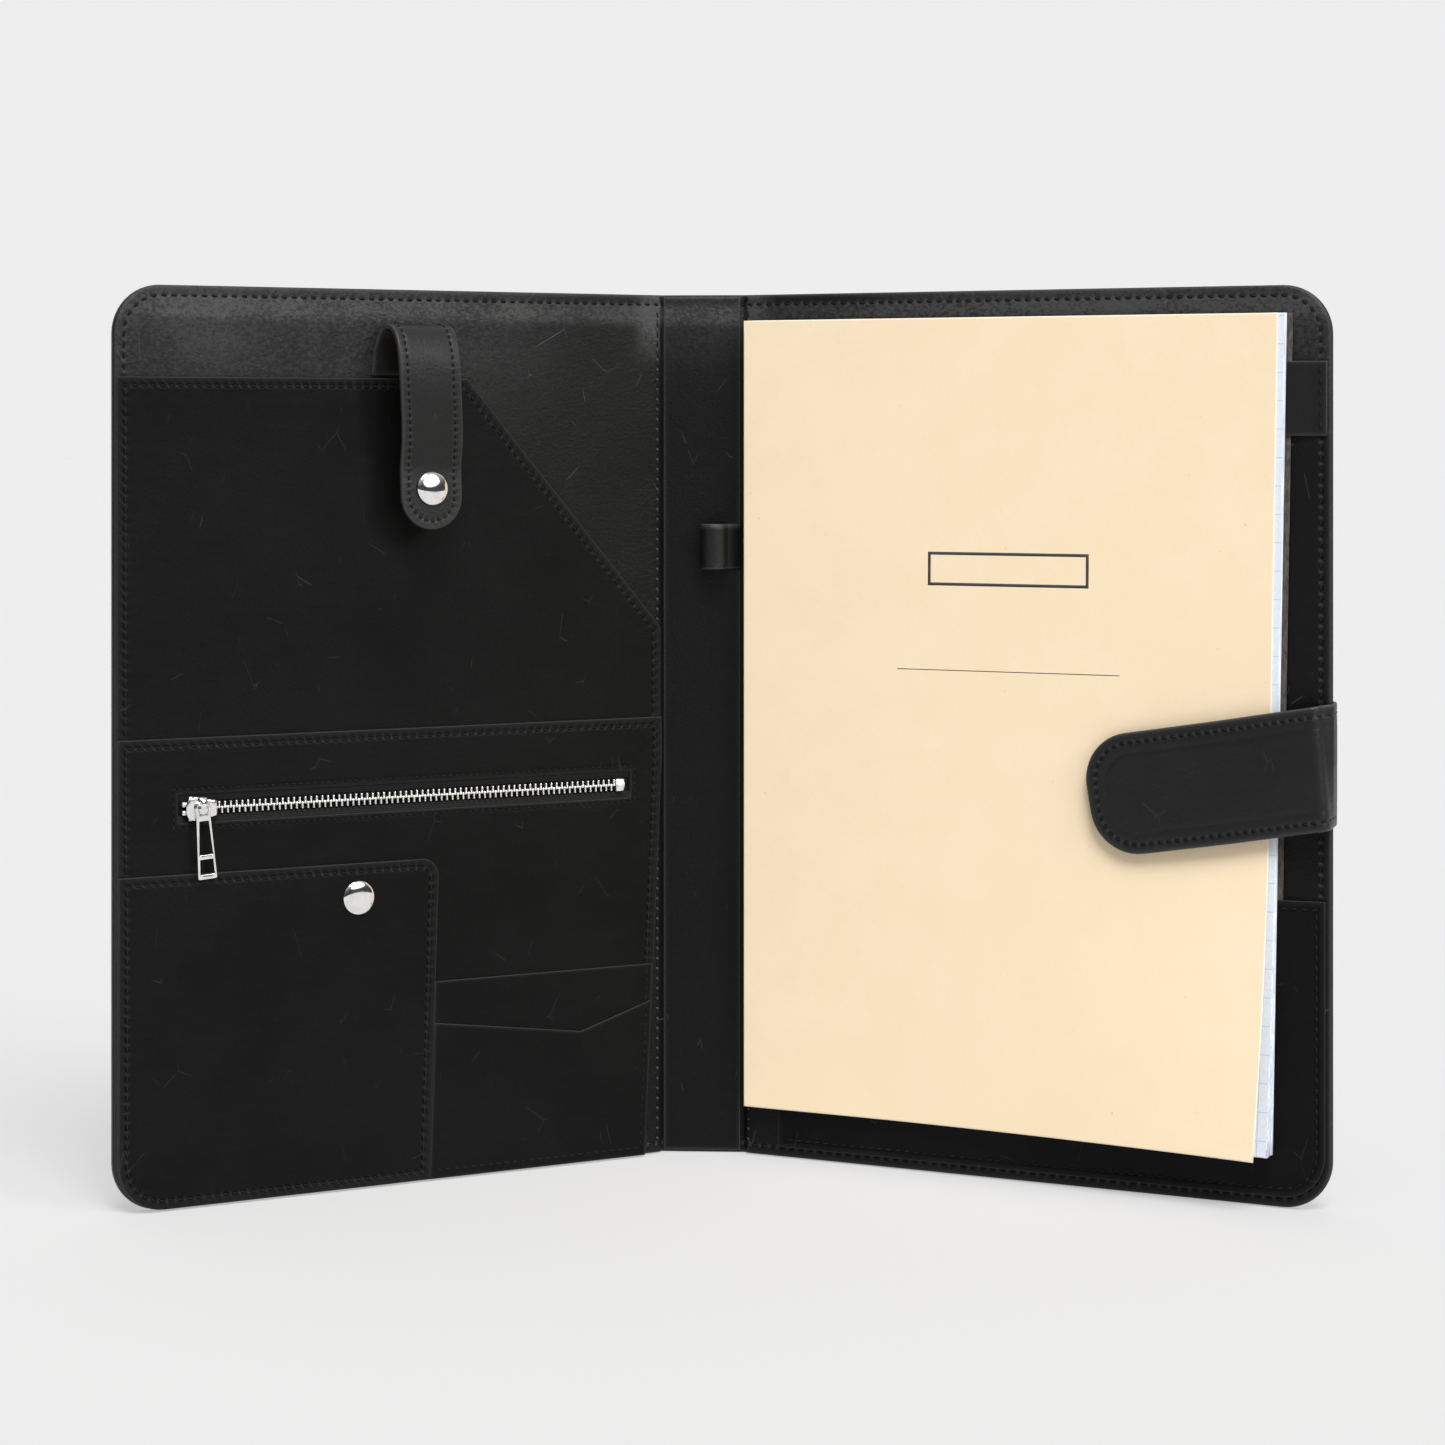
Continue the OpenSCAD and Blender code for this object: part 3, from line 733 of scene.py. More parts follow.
def leather(name, dark, light, rough, specular, grain, edge_light, wear, shine=0.0):
    """Smooth calf leather: pores, fine creases, scuffs, burnished edges, painted highlights on the seam bumps and a
    painted sheen at the top.
    """
    n = material_nodes(name)
    place = n.attribute("panel")
    edge = n.attribute("edge", "Fac")
    pores = n.node("TexVoronoi", {"Vector": place, "Scale": 950.0}, "Distance")
    wobble = n.noise(place, 2600.0, 3.0, 0.6)
    creases = n.stretched_noise(place, (620.0, 620.0, 900.0), 0.5, 5.0, 0.72)
    cloud = n.noise(place, 16.0, 4.0, 0.6)
    brushed = n.stretched_noise(place, (60.0, 60.0, 260.0), 0.12, 5.0, 0.7)
    lines = n.node(
        "TexVoronoi", {"Vector": n.stretch(place, (70.0, 70.0, 40.0), 0.9), "Scale": 1.0},
        "Distance", feature="DISTANCE_TO_EDGE",
    )
    scratch = n.times(
        n.remap(lines, 0.0, 0.007, 1.0, 0.0), n.remap(n.noise(place, 85.0), 0.6, 0.66)
    )
    tone = n.plus(n.times(cloud, 0.75), n.times(brushed, 0.25))
    colour = n.mix(n.remap(tone, 0.36, 0.64), grey(dark), grey(light))
    # Painted sheen: the lining is painted lighter at its top, beside the spine's seams and in a band below its top
    # edge, standing in for light from above.
    if shine:
        mottle = n.plus(n.times(creases, 0.6), n.times(cloud, 0.4))
        painted_sheen_mask = n.times(painted_sheen_places(n, place), n.remap(mottle, 0.4, 0.6, 0.3, 1.0))
        colour = n.mix(painted_sheen_mask, colour, grey(shine))
    # The edge value lightens the burnished edges, and also the seam bumps, where it is a painted highlight.
    colour = n.mix(n.times(edge, 0.85), colour, grey(edge_light))
    colour = n.mix(n.times(scratch, wear), colour, grey(SCRATCH_GREY))
    gloss = n.remap(tone, 0.36, 0.66, rough + 0.06, rough - 0.06)
    normal = n.bump(n.plus(n.times(pores, 0.7), n.times(wobble, 0.6)), 0.00012 * grain, 0.7)
    normal = n.bump(creases, 0.00028 * grain, 0.6, normal)
    gloss = n.math("SUBTRACT", gloss, n.times(edge, 0.08))
    return n.finish(colour, gloss, specular, n.bump(scratch, -0.00005, wear, normal))


def thread_material():
    n = material_nodes("sewing_thread")
    place = n.stretch(n.attribute("panel"), (1, 1, 1), 0.7)
    twist = n.node("TexWave", {"Vector": place, "Scale": 900.0, "Distortion": 1.5}, "Fac")
    colour, matt = n.mix(twist, grey(0.0015), grey(0.006)), n.remap(twist, 0, 1, 0.6, 0.5)
    return n.finish(colour, matt, 0.2, n.bump(twist, 0.00006, 0.8))


def metal(name, tint, rough, brushed=0.0, own_place=True):
    """Plated metal with faint smudges and hairlines."""
    n = material_nodes(name)
    place = n.attribute("panel") if own_place else n.object_place()
    smudge = n.noise(place, 240.0, 3.0)
    hair = n.stretched_noise(place, (300.0, 300.0, 5200.0), 0.0, 3.0)
    colour = n.mix(n.remap(smudge, 0.35, 0.65), tint, [c * 0.9 for c in tint[:3]] + [1])
    matt = n.remap(smudge, 0.3, 0.7, rough * 0.8, rough * 1.3)
    return n.finish(colour, matt, normal=n.bump(hair, 0.00002, 0.1 + brushed), Metallic=1.0)


def fibre_board(name, dark, light):
    """Grey board with short fibres and flecks."""
    n = material_nodes(name)
    place = n.object_place()
    fibres = n.stretched_noise(place, (900.0, 900.0, 225.0), 0.0, 4.0, 0.7)
    flecks = n.remap(n.noise(place, 1620.0, 1.0), 0.68, 0.76, 0.0, 0.5)
    colour = n.mix(n.remap(fibres, 0.35, 0.65), dark, light)
    colour = n.mix(flecks, colour, grey(0.09, 0.1))
    return n.finish(colour, 0.9, 0.2, n.bump(fibres, 0.0001, 0.4))


def card_material():
    """Cream card with fine pulp fibres and a faint mottle."""
    n = material_nodes("cream_card")
    place = n.attribute("panel")
    pulp = n.stretched_noise(place, (1500.0, 1500.0, 700.0), 0.3, 4.0, 0.7)
    mottle = n.remap(n.noise(place, 45.0, 4.0, 0.6), 0.35, 0.65)
    fleck = n.remap(n.noise(place, 520.0, 1.0), 0.78, 0.84, 0.0, 0.35)
    colour = n.mix(mottle, (0.915, 0.735, 0.505, 1), (0.93, 0.755, 0.525, 1))
    colour = n.mix(n.remap(pulp, 0.3, 0.7, 0.0, 0.25), colour, (0.97, 0.82, 0.6, 1))
    colour = n.mix(fleck, colour, (0.55, 0.4, 0.26, 1))
    colour = n.mix(n.times(n.attribute("edge", "Fac"), 0.6), colour, (0.99, 0.93, 0.8, 1))
    return n.finish(colour, 0.72, 0.25, n.bump(pulp, 0.00005, 0.3))


RULING = 0.01


def paper_material():
    """White paper with a faint blue grid on its face and fine leaf lines at its edges."""
    n = material_nodes("ruled_paper")
    place = n.attribute("panel")
    ruled = []
    for axis in ("X", "Z"):
        cell = n.math("FRACT", n.times(n.axis(place, axis), 1 / RULING))
        from_line = n.math("ABSOLUTE", n.math("SUBTRACT", cell, 0.5))
        ruled.append(n.math("SUBTRACT", 1.0, n.remap(from_line, 0.0, 0.03)))
    leaves = n.remap(n.stretched_noise(place, (60.0, 9000.0, 60.0)), 0.4, 0.6)
    pulp = n.remap(n.noise(place, 900.0, 3.0), 0.3, 0.7)
    colour = n.mix(pulp, (0.70, 0.76, 0.86, 1), (0.76, 0.81, 0.89, 1))
    colour = n.mix(n.times(n.math("MAXIMUM", *ruled), 0.75), colour, (0.36, 0.5, 0.72, 1))
    edge_colour = n.mix(leaves, (0.52, 0.57, 0.66, 1), (0.86, 0.89, 0.93, 1))
    return n.finish(n.mix(n.attribute("edge", "Fac"), colour, edge_colour), 0.8, 0.2)


def woven_tape():
    n = material_nodes("zip_tape_cloth")
    inputs = {"Vector": n.attribute("panel"), "Scale": 420.0, "Distortion": 0.6}
    weave = n.times(*(n.node("TexWave", inputs, "Fac", bands_direction=axis) for axis in "XZ"))
    colour = n.mix(weave, grey(0.004), grey(0.022))
    return n.finish(colour, 0.85, 0.2, n.bump(weave, 0.0001, 0.6))


def printed_ink():
    n = material_nodes("printed_ink")
    speckle = n.noise(n.attribute("panel"), 1400.0, 2.0)
    return n.finish(n.mix(speckle, grey(0.035), grey(0.07)), 0.6, 0.3)


OUTER = leather("outer_leather", 0.004, 0.007, 0.4, 0.28, 1.0, edge_light=0.03, wear=0.5)
# The lining takes a painted sheen towards its top.
LINING = leather("lining_leather", 0.002, 0.004, 0.4, 0.17, 1.5, 0.06, wear=1.0, shine=0.06)
POCKET = leather("pocket_leather", 0.002, 0.004, 0.48, 0.1, 0.9, edge_light=0.03, wear=0.4)
STRAP = leather("strap_leather", 0.006, 0.011, 0.38, 0.26, 0.9, edge_light=0.05, wear=0.5)
THREAD = thread_material()
SNAP = metal("chrome_snap", (0.88, 0.87, 0.86, 1), 0.07)
ZIP = metal("zip_metal", (0.93, 0.93, 0.92, 1), 0.3, 0.1)
SLIDER = metal("slider_metal", (0.9, 0.9, 0.89, 1), 0.13, 0.05)
ZIP_TAPE = woven_tape()
MAGNET = metal("magnet_plating", (0.55, 0.55, 0.56, 1), 0.3, 0.2, own_place=False)
BOARD = fibre_board("cover_board", (0.12, 0.1, 0.085, 1), (0.22, 0.19, 0.16, 1))
BACKBOARD = fibre_board("grey_backboard", (0.04, 0.034, 0.03, 1), (0.09, 0.08, 0.072, 1))
CARD = card_material()
PAPER = paper_material()
INK = printed_ink()


def sit(piece, body, node, slot_name):
    """A piece that moves with one body and may stand for a CAD node."""
    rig.ride(piece, body)
    if node:
        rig.replaces(piece, node)
    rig.slot(piece, slot_name)
    return piece


# ---- Cover skins ----------------------------------------------------------------------

SEAM_INSET = 3.7
SEAM_PITCH = 3.8
POCKET_PITCH = 3.4
SUNK = 0.1
HINGE_STEP, HINGE_STEPS = 0.75, 6
hinge_columns = sorted(
    side * (hinge_s + HINGE_STEP * k)
    for side in (-1, 1) for k in range(-HINGE_STEPS, HINGE_STEPS + 1)
)


def cover_outline(left, right, columns):
    """A rounded rectangle from -left to right, with corners added at the columns."""
    r = corner_r
    return (
        arc(r - left, r, r, 180, 270) + [(c, 0) for c in columns]
        + arc(right - r, r, r, 270, 360) + arc(right - r, cover_h - r, r, 0, 90)
        + [(c, cover_h) for c in reversed(columns)] + arc(r - left, cover_h - r, r, 90, 180)
    )


skin_outline = cover_outline(hinge_s + front_w, hinge_s + back_w, hinge_columns)


def cut_at_spine(whole, name, low, high, material):
    """The part of the skin between two places along the spine, closed at its cuts."""
    bm = bmesh.new()
    bm.from_mesh(whole.data)
    for s, keep in ((low, 1), (high, -1)):
        if s is None:
            continue
        bmesh.ops.bisect_plane(
            bm, geom=bm.verts[:] + bm.edges[:] + bm.faces[:], dist=1e-7,
            plane_co=SPINE(s, 0, 0), plane_no=(keep, 0, 0), clear_inner=True,
        )
        bmesh.ops.holes_fill(bm, edges=[e for e in bm.edges if e.is_boundary], sides=0)
    return new_object(name, bm, material)


def whole_skin(name, profile, material, pull, slot_name, nodes):
    """One leather layer of both covers and the spine, as a piece for each."""
    whole = panel(
        name + "_skin", skin_outline, profile, skin, material, back_step=12.0,
        columns=hinge_columns, sewn=(SEAM_INSET, SEAM_PITCH, *pull),
    )
    parts = (
        ("front", "front_cover", None, -SPLIT), ("spine", "spine", -SPLIT, SPLIT),
        ("back", "back_cover", SPLIT, None),
    )
    for (part, body, low, high), replaced in zip(parts, nodes):
        piece = cut_at_spine(whole, f"{name}_{part}", low, high, material)
        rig.replaces(piece, *replaced)
        bend_with(piece, body, slot_name)
    bpy.data.objects.remove(whole)


outer_profile = [
    *rings_at(board_low, (7, 0, 0), (1.5, 0, 0)),
    *rings_at(
        board_high, (1.5, -0.3, 0), (1.1, -0.06, 0.2), (0.6, -0.04, 0.3), (0.2, -0.22, 0.4),
        (0.02, -0.7, 0.35),
    ),
    (0, -0.2, 0.3),
    *rings_at(
        outside, (0.06, 1.2, 0.3), (0.32, 0.62, 0.3), (0.85, 0.2, 0.2), (1.6, 0.03, 0.1),
        (2.3, 0, 0), (SEAM_INSET - 0.75, 0, 0), (SEAM_INSET, 0.2, 0), (SEAM_INSET + 0.75, 0, 0),
        (7, 0, 0),
    ),
]
lining_profile = [
    *rings_at(board_high, (7, 0, 0), (0.6, 0, 0.1), (0.32, 0.2, 0.2)),
    *rings_at(inside, (0.3, -0.42, 0.4), (0.5, -0.14, 0.5), (0.95, -0.01, 0.2), (1.8, 0, 0.05)),
    (SEAM_INSET - 1.2, inside, 0), *groove_rings(SEAM_INSET, inside),
    (SEAM_INSET + 1.2, inside, 0), (7, inside, 0),
]
whole_skin("outer_leather", outer_profile, OUTER, (0.24, -1), "outer_leather", (
    ("front_outer_leather", "front_hinge_leather"), ("spine_outer_leather",),
    ("back_outer_leather", "back_hinge_leather"),
))
whole_skin("lining", lining_profile, LINING, (0.36, 1), "lining_leather", (
    ("front_lining",), ("spine_lining",), ("back_lining",),
))

STRIP_LEFT, STRIP_RIGHT, STRIP_INSET, STRIP_T = -15.2, 13.9, 0.9, 0.6
strip_top = board_low + SPINE_LINING * (inside - board_high) + STRIP_T
strip = panel(
    "spine_strip", rectangle(STRIP_LEFT, STRIP_INSET, STRIP_RIGHT, cover_h - STRIP_INSET),
    leather_edge(strip_top - STRIP_T, strip_top, round_r=0.28), SPINE, LINING, step=8.0,
)
sit(strip, "spine", None, "lining_leather")

# Seams that hold the skins together: around both covers, inside and out, and by each hinge

seam_line = inset_line(skin_outline, SEAM_INSET)
document_top = FRONT.box("document_pocket")[1][2]
pad_pocket_top = BACK.box("pad_pocket")[1][2]


def edge_seam(name, level, slant, on_front, on_back):
    parts = (
        ("front", "front_cover", lambda s, z: s < -SPLIT and on_front(-s - hinge_s, z)),
        ("spine", "spine", lambda s, z: abs(s) <= SPLIT),
        ("back", "back_cover", lambda s, z: s > SPLIT and on_back(s - hinge_s, z)),
    )
    for part, body, keep in parts:
        seam = stitches(
            f"{name}_{part}", seam_line, skin, level, SEAM_PITCH, keep, slant=slant
        )
        bend_with(seam, body, "outer_leather")


edge_seam("outer_seam", outside + 0.1, 9.0, lambda u, z: True, lambda u, z: True)
# Inside, the pockets cover the lining except above them and next to the hinges
FRONT_BARE, BACK_BARE = 7, 14
edge_seam(
    "inner_seam", inside - 0.12, -9.0, lambda u, z: z > document_top or u < FRONT_BARE,
    lambda u, z: z > pad_pocket_top or u < BACK_BARE,
)
FRONT_SEAM_OUT, BACK_SEAM_OUT = 2.4, 1.3
for name, s, body in (
    ("front_hinge_seam", -hinge_s - FRONT_SEAM_OUT, "front_cover"),
    ("back_hinge_seam", hinge_s + BACK_SEAM_OUT, "back_cover"),
):
    row = ([(s, SEAM_INSET + 2), (s, cover_h - SEAM_INSET - 2)], skin, inside - 0.05, SEAM_PITCH)
    bend_with(stitches(name, *row, closed=False), body, "outer_leather")
    # Lining bumps between the hinge stitches, painted lighter through their edge value: a painted highlight.
    bumps = stitches(
        name + "_bumps", *row, closed=False, slant=50.0, length=0.4, phase=0.0, wear=1.0,
        size=1.4, material=LINING,
    )
    bend_with(bumps, body, "lining_leather")

# ---- Pen loop -------------------------------------------------------------------------

PEN_T = 0.9
loop_low, loop_high = SPINE.box("pen_loop")
loop_r = (loop_high[1] - strip_top - PEN_T) / 2
loop_u, loop_w = loop_low[0] + loop_r + PEN_T / 2, strip_top + PEN_T / 2 + loop_r
loop_path = [(loop_high[0], strip_top + 0.46), (loop_u + 3, strip_top + 0.46)]
loop_path += [
    (loop_u - loop_r * math.sin(math.radians(a)), loop_w - loop_r * math.cos(math.radians(a)))
    for a in range(0, 316, 9)
]
loop_path += [(loop_u + 4.1, strip_top + 1.55), (loop_u + 5.4, strip_top + 1.42)]
pen_loop = ribbon(
    "pen_loop_band", loop_path, PEN_T, loop_low[2], loop_high[2], SPINE, STRAP
)
sit(pen_loop, "spine", "pen_loop", "strap_leather")

# ---- Front cover pockets --------------------------------------------------------------

POCKET_INSET = front_w - FRONT.box("document_pocket")[1][0]
POCKET_SEAM = SEAM_INSET - POCKET_INSET


def edge_u(node, z):
    """How near the hinge a node reaches at the height given."""
    points = FRONT.points(node)
    return points[abs(points[:, 2] - z) < 0.3][:, 0].min()


pocket_points = FRONT.points("document_pocket")
pocket_u = pocket_points[:, 0].min()
by_edge = pocket_points[pocket_points[:, 0] < pocket_u + TOUCH]
low_z, bend_z = by_edge[:, 2].max(), by_edge[:, 2].min()
foot_u = edge_u("document_pocket", POCKET_INSET)
free_u = front_w - POCKET_INSET


def pocket_outline(foot, top):
    """A pocket's foot, its corner at the cover's free edge, and that edge up to the top."""
    corner = arc(front_w - corner_r, corner_r, corner_r - POCKET_INSET, 270, 360)
    return [(foot, POCKET_INSET)] + corner + [(free_u, top)]


def pocket_seam(name, line, level, pitch=POCKET_PITCH, keep=None, relief=None):
    seam = stitches(name, line, FRONT, level, pitch, keep, relief)
    sit(seam, "front_cover", None, "pocket_leather")


def pocket(node, outline, keep, relief=None, holes=()):
    """A pocket's leather, and the stitches along its edge at the places that keep allows."""
    low, high = FRONT.box(node)
    piece = panel(
        node + "_leather", outline, leather_edge(low[1], high[1], POCKET_SEAM), FRONT, POCKET,
        sewn=(POCKET_SEAM, POCKET_PITCH, 0.2, 1), relief=relief, holes=holes,
    )
    sit(piece, "front_cover", node, "pocket_leather")
    line = inset_line(outline, POCKET_SEAM)
    pocket_seam(node + "_seam", line, high[1] - SUNK, keep=keep, relief=relief)


def soft(u, z, scale, seed):
    return noise.noise(Vector((u / scale, z / scale, seed)))


def document_relief(u, z):
    """The pocket stands off a little at its mouth, where nothing holds it."""
    mouth = ramp(z, low_z - 30, document_top) * ramp(free_u - u, 2, 45)
    return mouth * (0.35 + 0.3 * soft(u, z, 48.0, 3.1))


zip_top, phone_top, card_back_z = (
    FRONT.box(node)[1][2] for node in ("zip_panel", "phone_pocket", "card_slot_back")
)
document_outline = pocket_outline(foot_u, document_top) + [
    (edge_u("document_pocket", document_top), document_top), (pocket_u, low_z),
    (pocket_u, bend_z),
]
pocket("document_pocket", document_outline, lambda u, z: z > zip_top + 0.5, document_relief)

zip_outline = pocket_outline(foot_u, zip_top) + [(pocket_u, zip_top), (pocket_u, bend_z)]
zip_level = FRONT.box("zip_panel")[1][1]
zip_z = (FRONT.box("zip_teeth_upper")[1][2] + FRONT.box("zip_teeth_lower")[0][2]) / 2
panel_points = FRONT.points("zip_panel")
near_window = panel_points[
    (abs(panel_points[:, 2] - zip_z) < 6) & (panel_points[:, 0] > 10) & (panel_points[:, 0] < 200)
]
window_half = abs(near_window[:, 2] - zip_z).max()
window = rectangle(
    near_window[:, 0].min(), zip_z - window_half, near_window[:, 0].max(), zip_z + window_half
)
window_edge = [(0, FRONT.box("zip_panel")[0][1], 0.2)] + rings_at(
    zip_level, (0, -0.3, 0.9), (0.1, -0.08, 0.9), (0.35, 0, 0.3), (1.3, 0, 0), (1.8, -0.15, 0),
    (2.3, 0, 0), (3.2, 0, 0),
)
pocket(
    "zip_panel", zip_outline,
    lambda u, z: (z > phone_top and u > 60) or (u <= 60 and z > card_back_z),
    holes=[(window, window_edge)],
)
pocket_seam("zip_window_seam", inset_line(window, -1.8), zip_level - 0.08, 2.7)

phone_foot_u = edge_u("phone_pocket", POCKET_INSET)
phone_side_u = FRONT.box("phone_pocket")[0][0]
PHONE_CORNER_R = 6.5


def phone_side(z):
    return phone_foot_u + (phone_side_u - phone_foot_u) * z / (phone_top - PHONE_CORNER_R)


def phone_relief(u, z):
    held = ramp(u, phone_side_u, phone_side_u + 25) * ramp(free_u - u, 0, 40)
    return held * (0.3 + 0.25 * soft(u, z, 40.0, 7.7)) * ramp(phone_top - z, -6, 10)


phone_outline = pocket_outline(phone_foot_u, phone_top) + arc(
    phone_side_u + PHONE_CORNER_R, phone_top - PHONE_CORNER_R, PHONE_CORNER_R, 90, 180, 8
)
pocket("phone_pocket", phone_outline, lambda u, z: u > phone_side_u + 2, phone_relief)

card_back, card_front = FRONT.box("card_slot_back"), FRONT.box("card_slot_front")
# The front slot's mouth: its left end, the dip in the middle and its right end
card_points = FRONT.points("card_slot_front")
card_points = card_points[card_points[:, 2] > 20]
dip = min((p for p in card_points if 20 < p[0] < 60), key=lambda p: p[2])
card_left = card_points[card_points[:, 0] < 12]
card_left_z = card_left[:, 2].max()
card_right_z = card_points[card_points[:, 0] > 90][:, 2].max()
card_foot = [(foot_u + 0.8, POCKET_INSET), (phone_side(0), POCKET_INSET)]
back_mouth = [
    (phone_side(card_back_z), card_back_z), (edge_u("card_slot_back", card_back_z), card_back_z)
]
front_mouth = [
    (phone_side(card_right_z), card_right_z), (dip[0], dip[2]),
    (card_left[:, 0].min(), card_left_z),
]
for name, mouth, box in (
    ("card_slot_back", back_mouth, card_back), ("card_slot_front", front_mouth, card_front)
):
    edge = leather_edge(box[0][1], box[1][1], round_r=0.25, plain=1.2)
    sheet = panel(name + "_leather", card_foot + mouth, edge, FRONT, POCKET)
    sit(sheet, "front_cover", name, "pocket_leather")
pocket_seam(
    "card_slot_seam", inset_line(zip_outline, POCKET_SEAM),
    lambda u, z: (card_front if z < card_left_z else card_back)[1][1] - SUNK,
    keep=lambda u, z: u < phone_side(0) - 1 and z <= card_back_z,
)

# ---- Zip ------------------------------------------------------------------------------

TOOTH_PITCH = 2.2
TOOTH_W = 0.95
TOOTH_TIP, TOOTH_ROOT = 0.25, 0.35
TOOTH_SECTIONS = (  # share of its length from the tip, half width, share of its height
    (0.0, 0.3, 0.45), (0.1, 0.5, 0.72), (0.24, 0.5, 0.8), (0.38, 0.38, 0.68),
    (0.8, 0.38, 0.68), (0.94, 0.42, 0.74), (1.0, 0.36, 0.5),
)


def tooth(build, u, low, z_tip, z_root):
    """One tooth: a waisted bar with a rounded head that meets the other row."""
    rings = []
    for share, half_w, rise in TOOTH_SECTIONS:
        z = z_tip + (z_root - z_tip) * share
        half_w *= TOOTH_W
        foot, top = low + 0.25, low + 2.0 * rise + 0.35
        section = (
            (-1, foot), (1, foot), (1, top - 0.3), (0.55, top), (-0.55, top), (-1, top - 0.3)
        )
        rings.append([build.vertex(u + half_w * k, w, z) for k, w in section])
    build.tube(rings)


for row, side in (("upper", 1), ("lower", -1)):
    low, high = FRONT.box("zip_tape_" + row)
    tape = blocks("zip_tape_cloth_" + row, FRONT, ZIP_TAPE, [(low, high, 0.12)])
    sit(tape, "front_cover", "zip_tape_" + row, "zip_tape")
    low, high = FRONT.box("zip_teeth_" + row)
    tip, root = (low[2], high[2]) if side > 0 else (high[2], low[2])
    build = Builder(FRONT)
    u = low[0] + TOOTH_W / 2 + (0 if side > 0 else TOOTH_PITCH / 2)
    while u < high[0] - TOOTH_W / 2:
        tooth(build, u, low[1] - 0.2, tip + TOOTH_TIP * side, root - TOOTH_ROOT * side)
        u += TOOTH_PITCH
    teeth = build.finish("zip_teeth_row_" + row, ZIP)
    sit(teeth, "front_cover", "zip_teeth_" + row, "zip_metal")

low, high = FRONT.box("zip_end_stop")
end_box = blocks("zip_end_box", FRONT, ZIP, [
    (low, high, 0.14),
    ((low[0] - 0.6, low[1], low[2] + 1.1), (low[0] + 0.4, high[1] - 0.5, high[2] - 1.1), 0.2),
])
sit(end_box, "front_cover", "zip_end_stop", "zip_metal")
low, high = FRONT.box("zip_top_stops")
size = (high[2] - low[2] - 1.2) / 2
stops = blocks("zip_top_stop_pair", FRONT, ZIP, [
    ((low[0], low[1], z0), (high[0], high[1], z0 + size), 0.3) for z0 in (low[2], high[2] - size)
])
sit(stops, "front_cover", "zip_top_stops", "zip_metal")

slider_low, slider_high = FRONT.box("zip_slider")
slider_u = (slider_low[0] + slider_high[0]) / 2
half_l = (slider_high[0] - slider_low[0]) / 2
half_h = (slider_high[2] - slider_low[2]) / 2
pull_low, pull_high = FRONT.box("zip_pull")
PLATE_T = 1.1
FLANGE_T = 0.9
PULL_GAP = 0.3
plate_top = pull_low[1] - PULL_GAP
plate_low = plate_top - PLATE_T
crown_top = slider_high[1] - 0.35

# A shield that is widest where the two rows part
half_shield = [
    (half_l, 1.6), (half_l * 0.82, half_h * 0.86), (half_l * 0.4, half_h),
    (-half_l * 0.1, half_h * 0.8), (-half_l * 0.6, half_h * 0.72), (-half_l, half_h * 0.6),
]
shield = half_shield + [(u, -z) for u, z in reversed(half_shield)]
slider_plate = panel(
    "slider_plate", [(slider_u + u, zip_z + z) for u, z in shield],
    rings_at(plate_low, (1.2, 0, 0), (0.25, 0, 0.5), (0, 0.25, 1))
    + rings_at(plate_top, (0, -0.4, 1), (0.15, -0.12, 1), (0.5, 0, 0.5), (1.2, 0.05, 0)),
    FRONT, SLIDER, step=2.0, edge_step=1.0,
)
flanges = []
for side in (-1, 1):
    for start, end, out in ((0.05, 0.8, half_h - 0.05), (-0.95, -0.05, half_h * 0.7)):
        z0, z1 = sorted((zip_z + side * out, zip_z + side * (out - FLANGE_T)))
        flanges.append((
            (slider_u + half_l * start, slider_low[1], z0),
            (slider_u + half_l * end, plate_low + 0.3, z1), 0.25,
        ))
slider_flanges = blocks("slider_flanges", FRONT, SLIDER, flanges)
slider_post = lathe(
    "slider_post", FRONT, (slider_u, zip_z),
    [(0, plate_top - 0.4), (0.9, plate_top - 0.4)] + [
        (r, crown_top + rise) for r, rise in (
            (0.85, -0.7), (1.5, -0.5), (1.95, -0.15), (1.8, 0.2), (1.1, 0.35), (0, 0.38)
        )
    ],
    SLIDER, 24,
)


def crown():
    """The bridge that rises from the plate above the pull and reaches over its eye."""
    build = Builder(FRONT)
    path = [
        (4.0, plate_top - 0.3), (4.05, plate_top + 0.8), (3.75, crown_top - 0.4),
        (3.0, crown_top - 0.02), (1.8, crown_top + 0.1), (0.3, crown_top + 0.12),
    ]
    widths = [1.9, 1.7, 1.5, 1.35, 1.25, 1.1]
    section = (
        (-1, -0.4), (-0.75, -1), (0.75, -1), (1, -0.4), (1, 0.4), (0.75, 1), (-0.75, 1), (-1, 0.4)
    )
    half_t = 0.38
    rings = []
    for i, ((z, w), half) in enumerate(zip(path, widths)):
        before, after = path[max(0, i - 1)], path[min(len(path) - 1, i + 1)]
        dz, dw = after[0] - before[0], after[1] - before[1]
        size = math.hypot(dz, dw)
        nz, nw = dw / size * half_t, -dz / size * half_t
        rings.append([
            build.vertex(slider_u + half * k, w + nw * out, zip_z + z + nz * out)
            for k, out in section
        ])
    build.tube(rings)
    return build.finish("slider_crown", SLIDER)


slider = joined("zip_slider_body", [slider_plate, slider_flanges, slider_post, crown()])
sit(slider, "zip_slider", "zip_slider", "zip_metal")

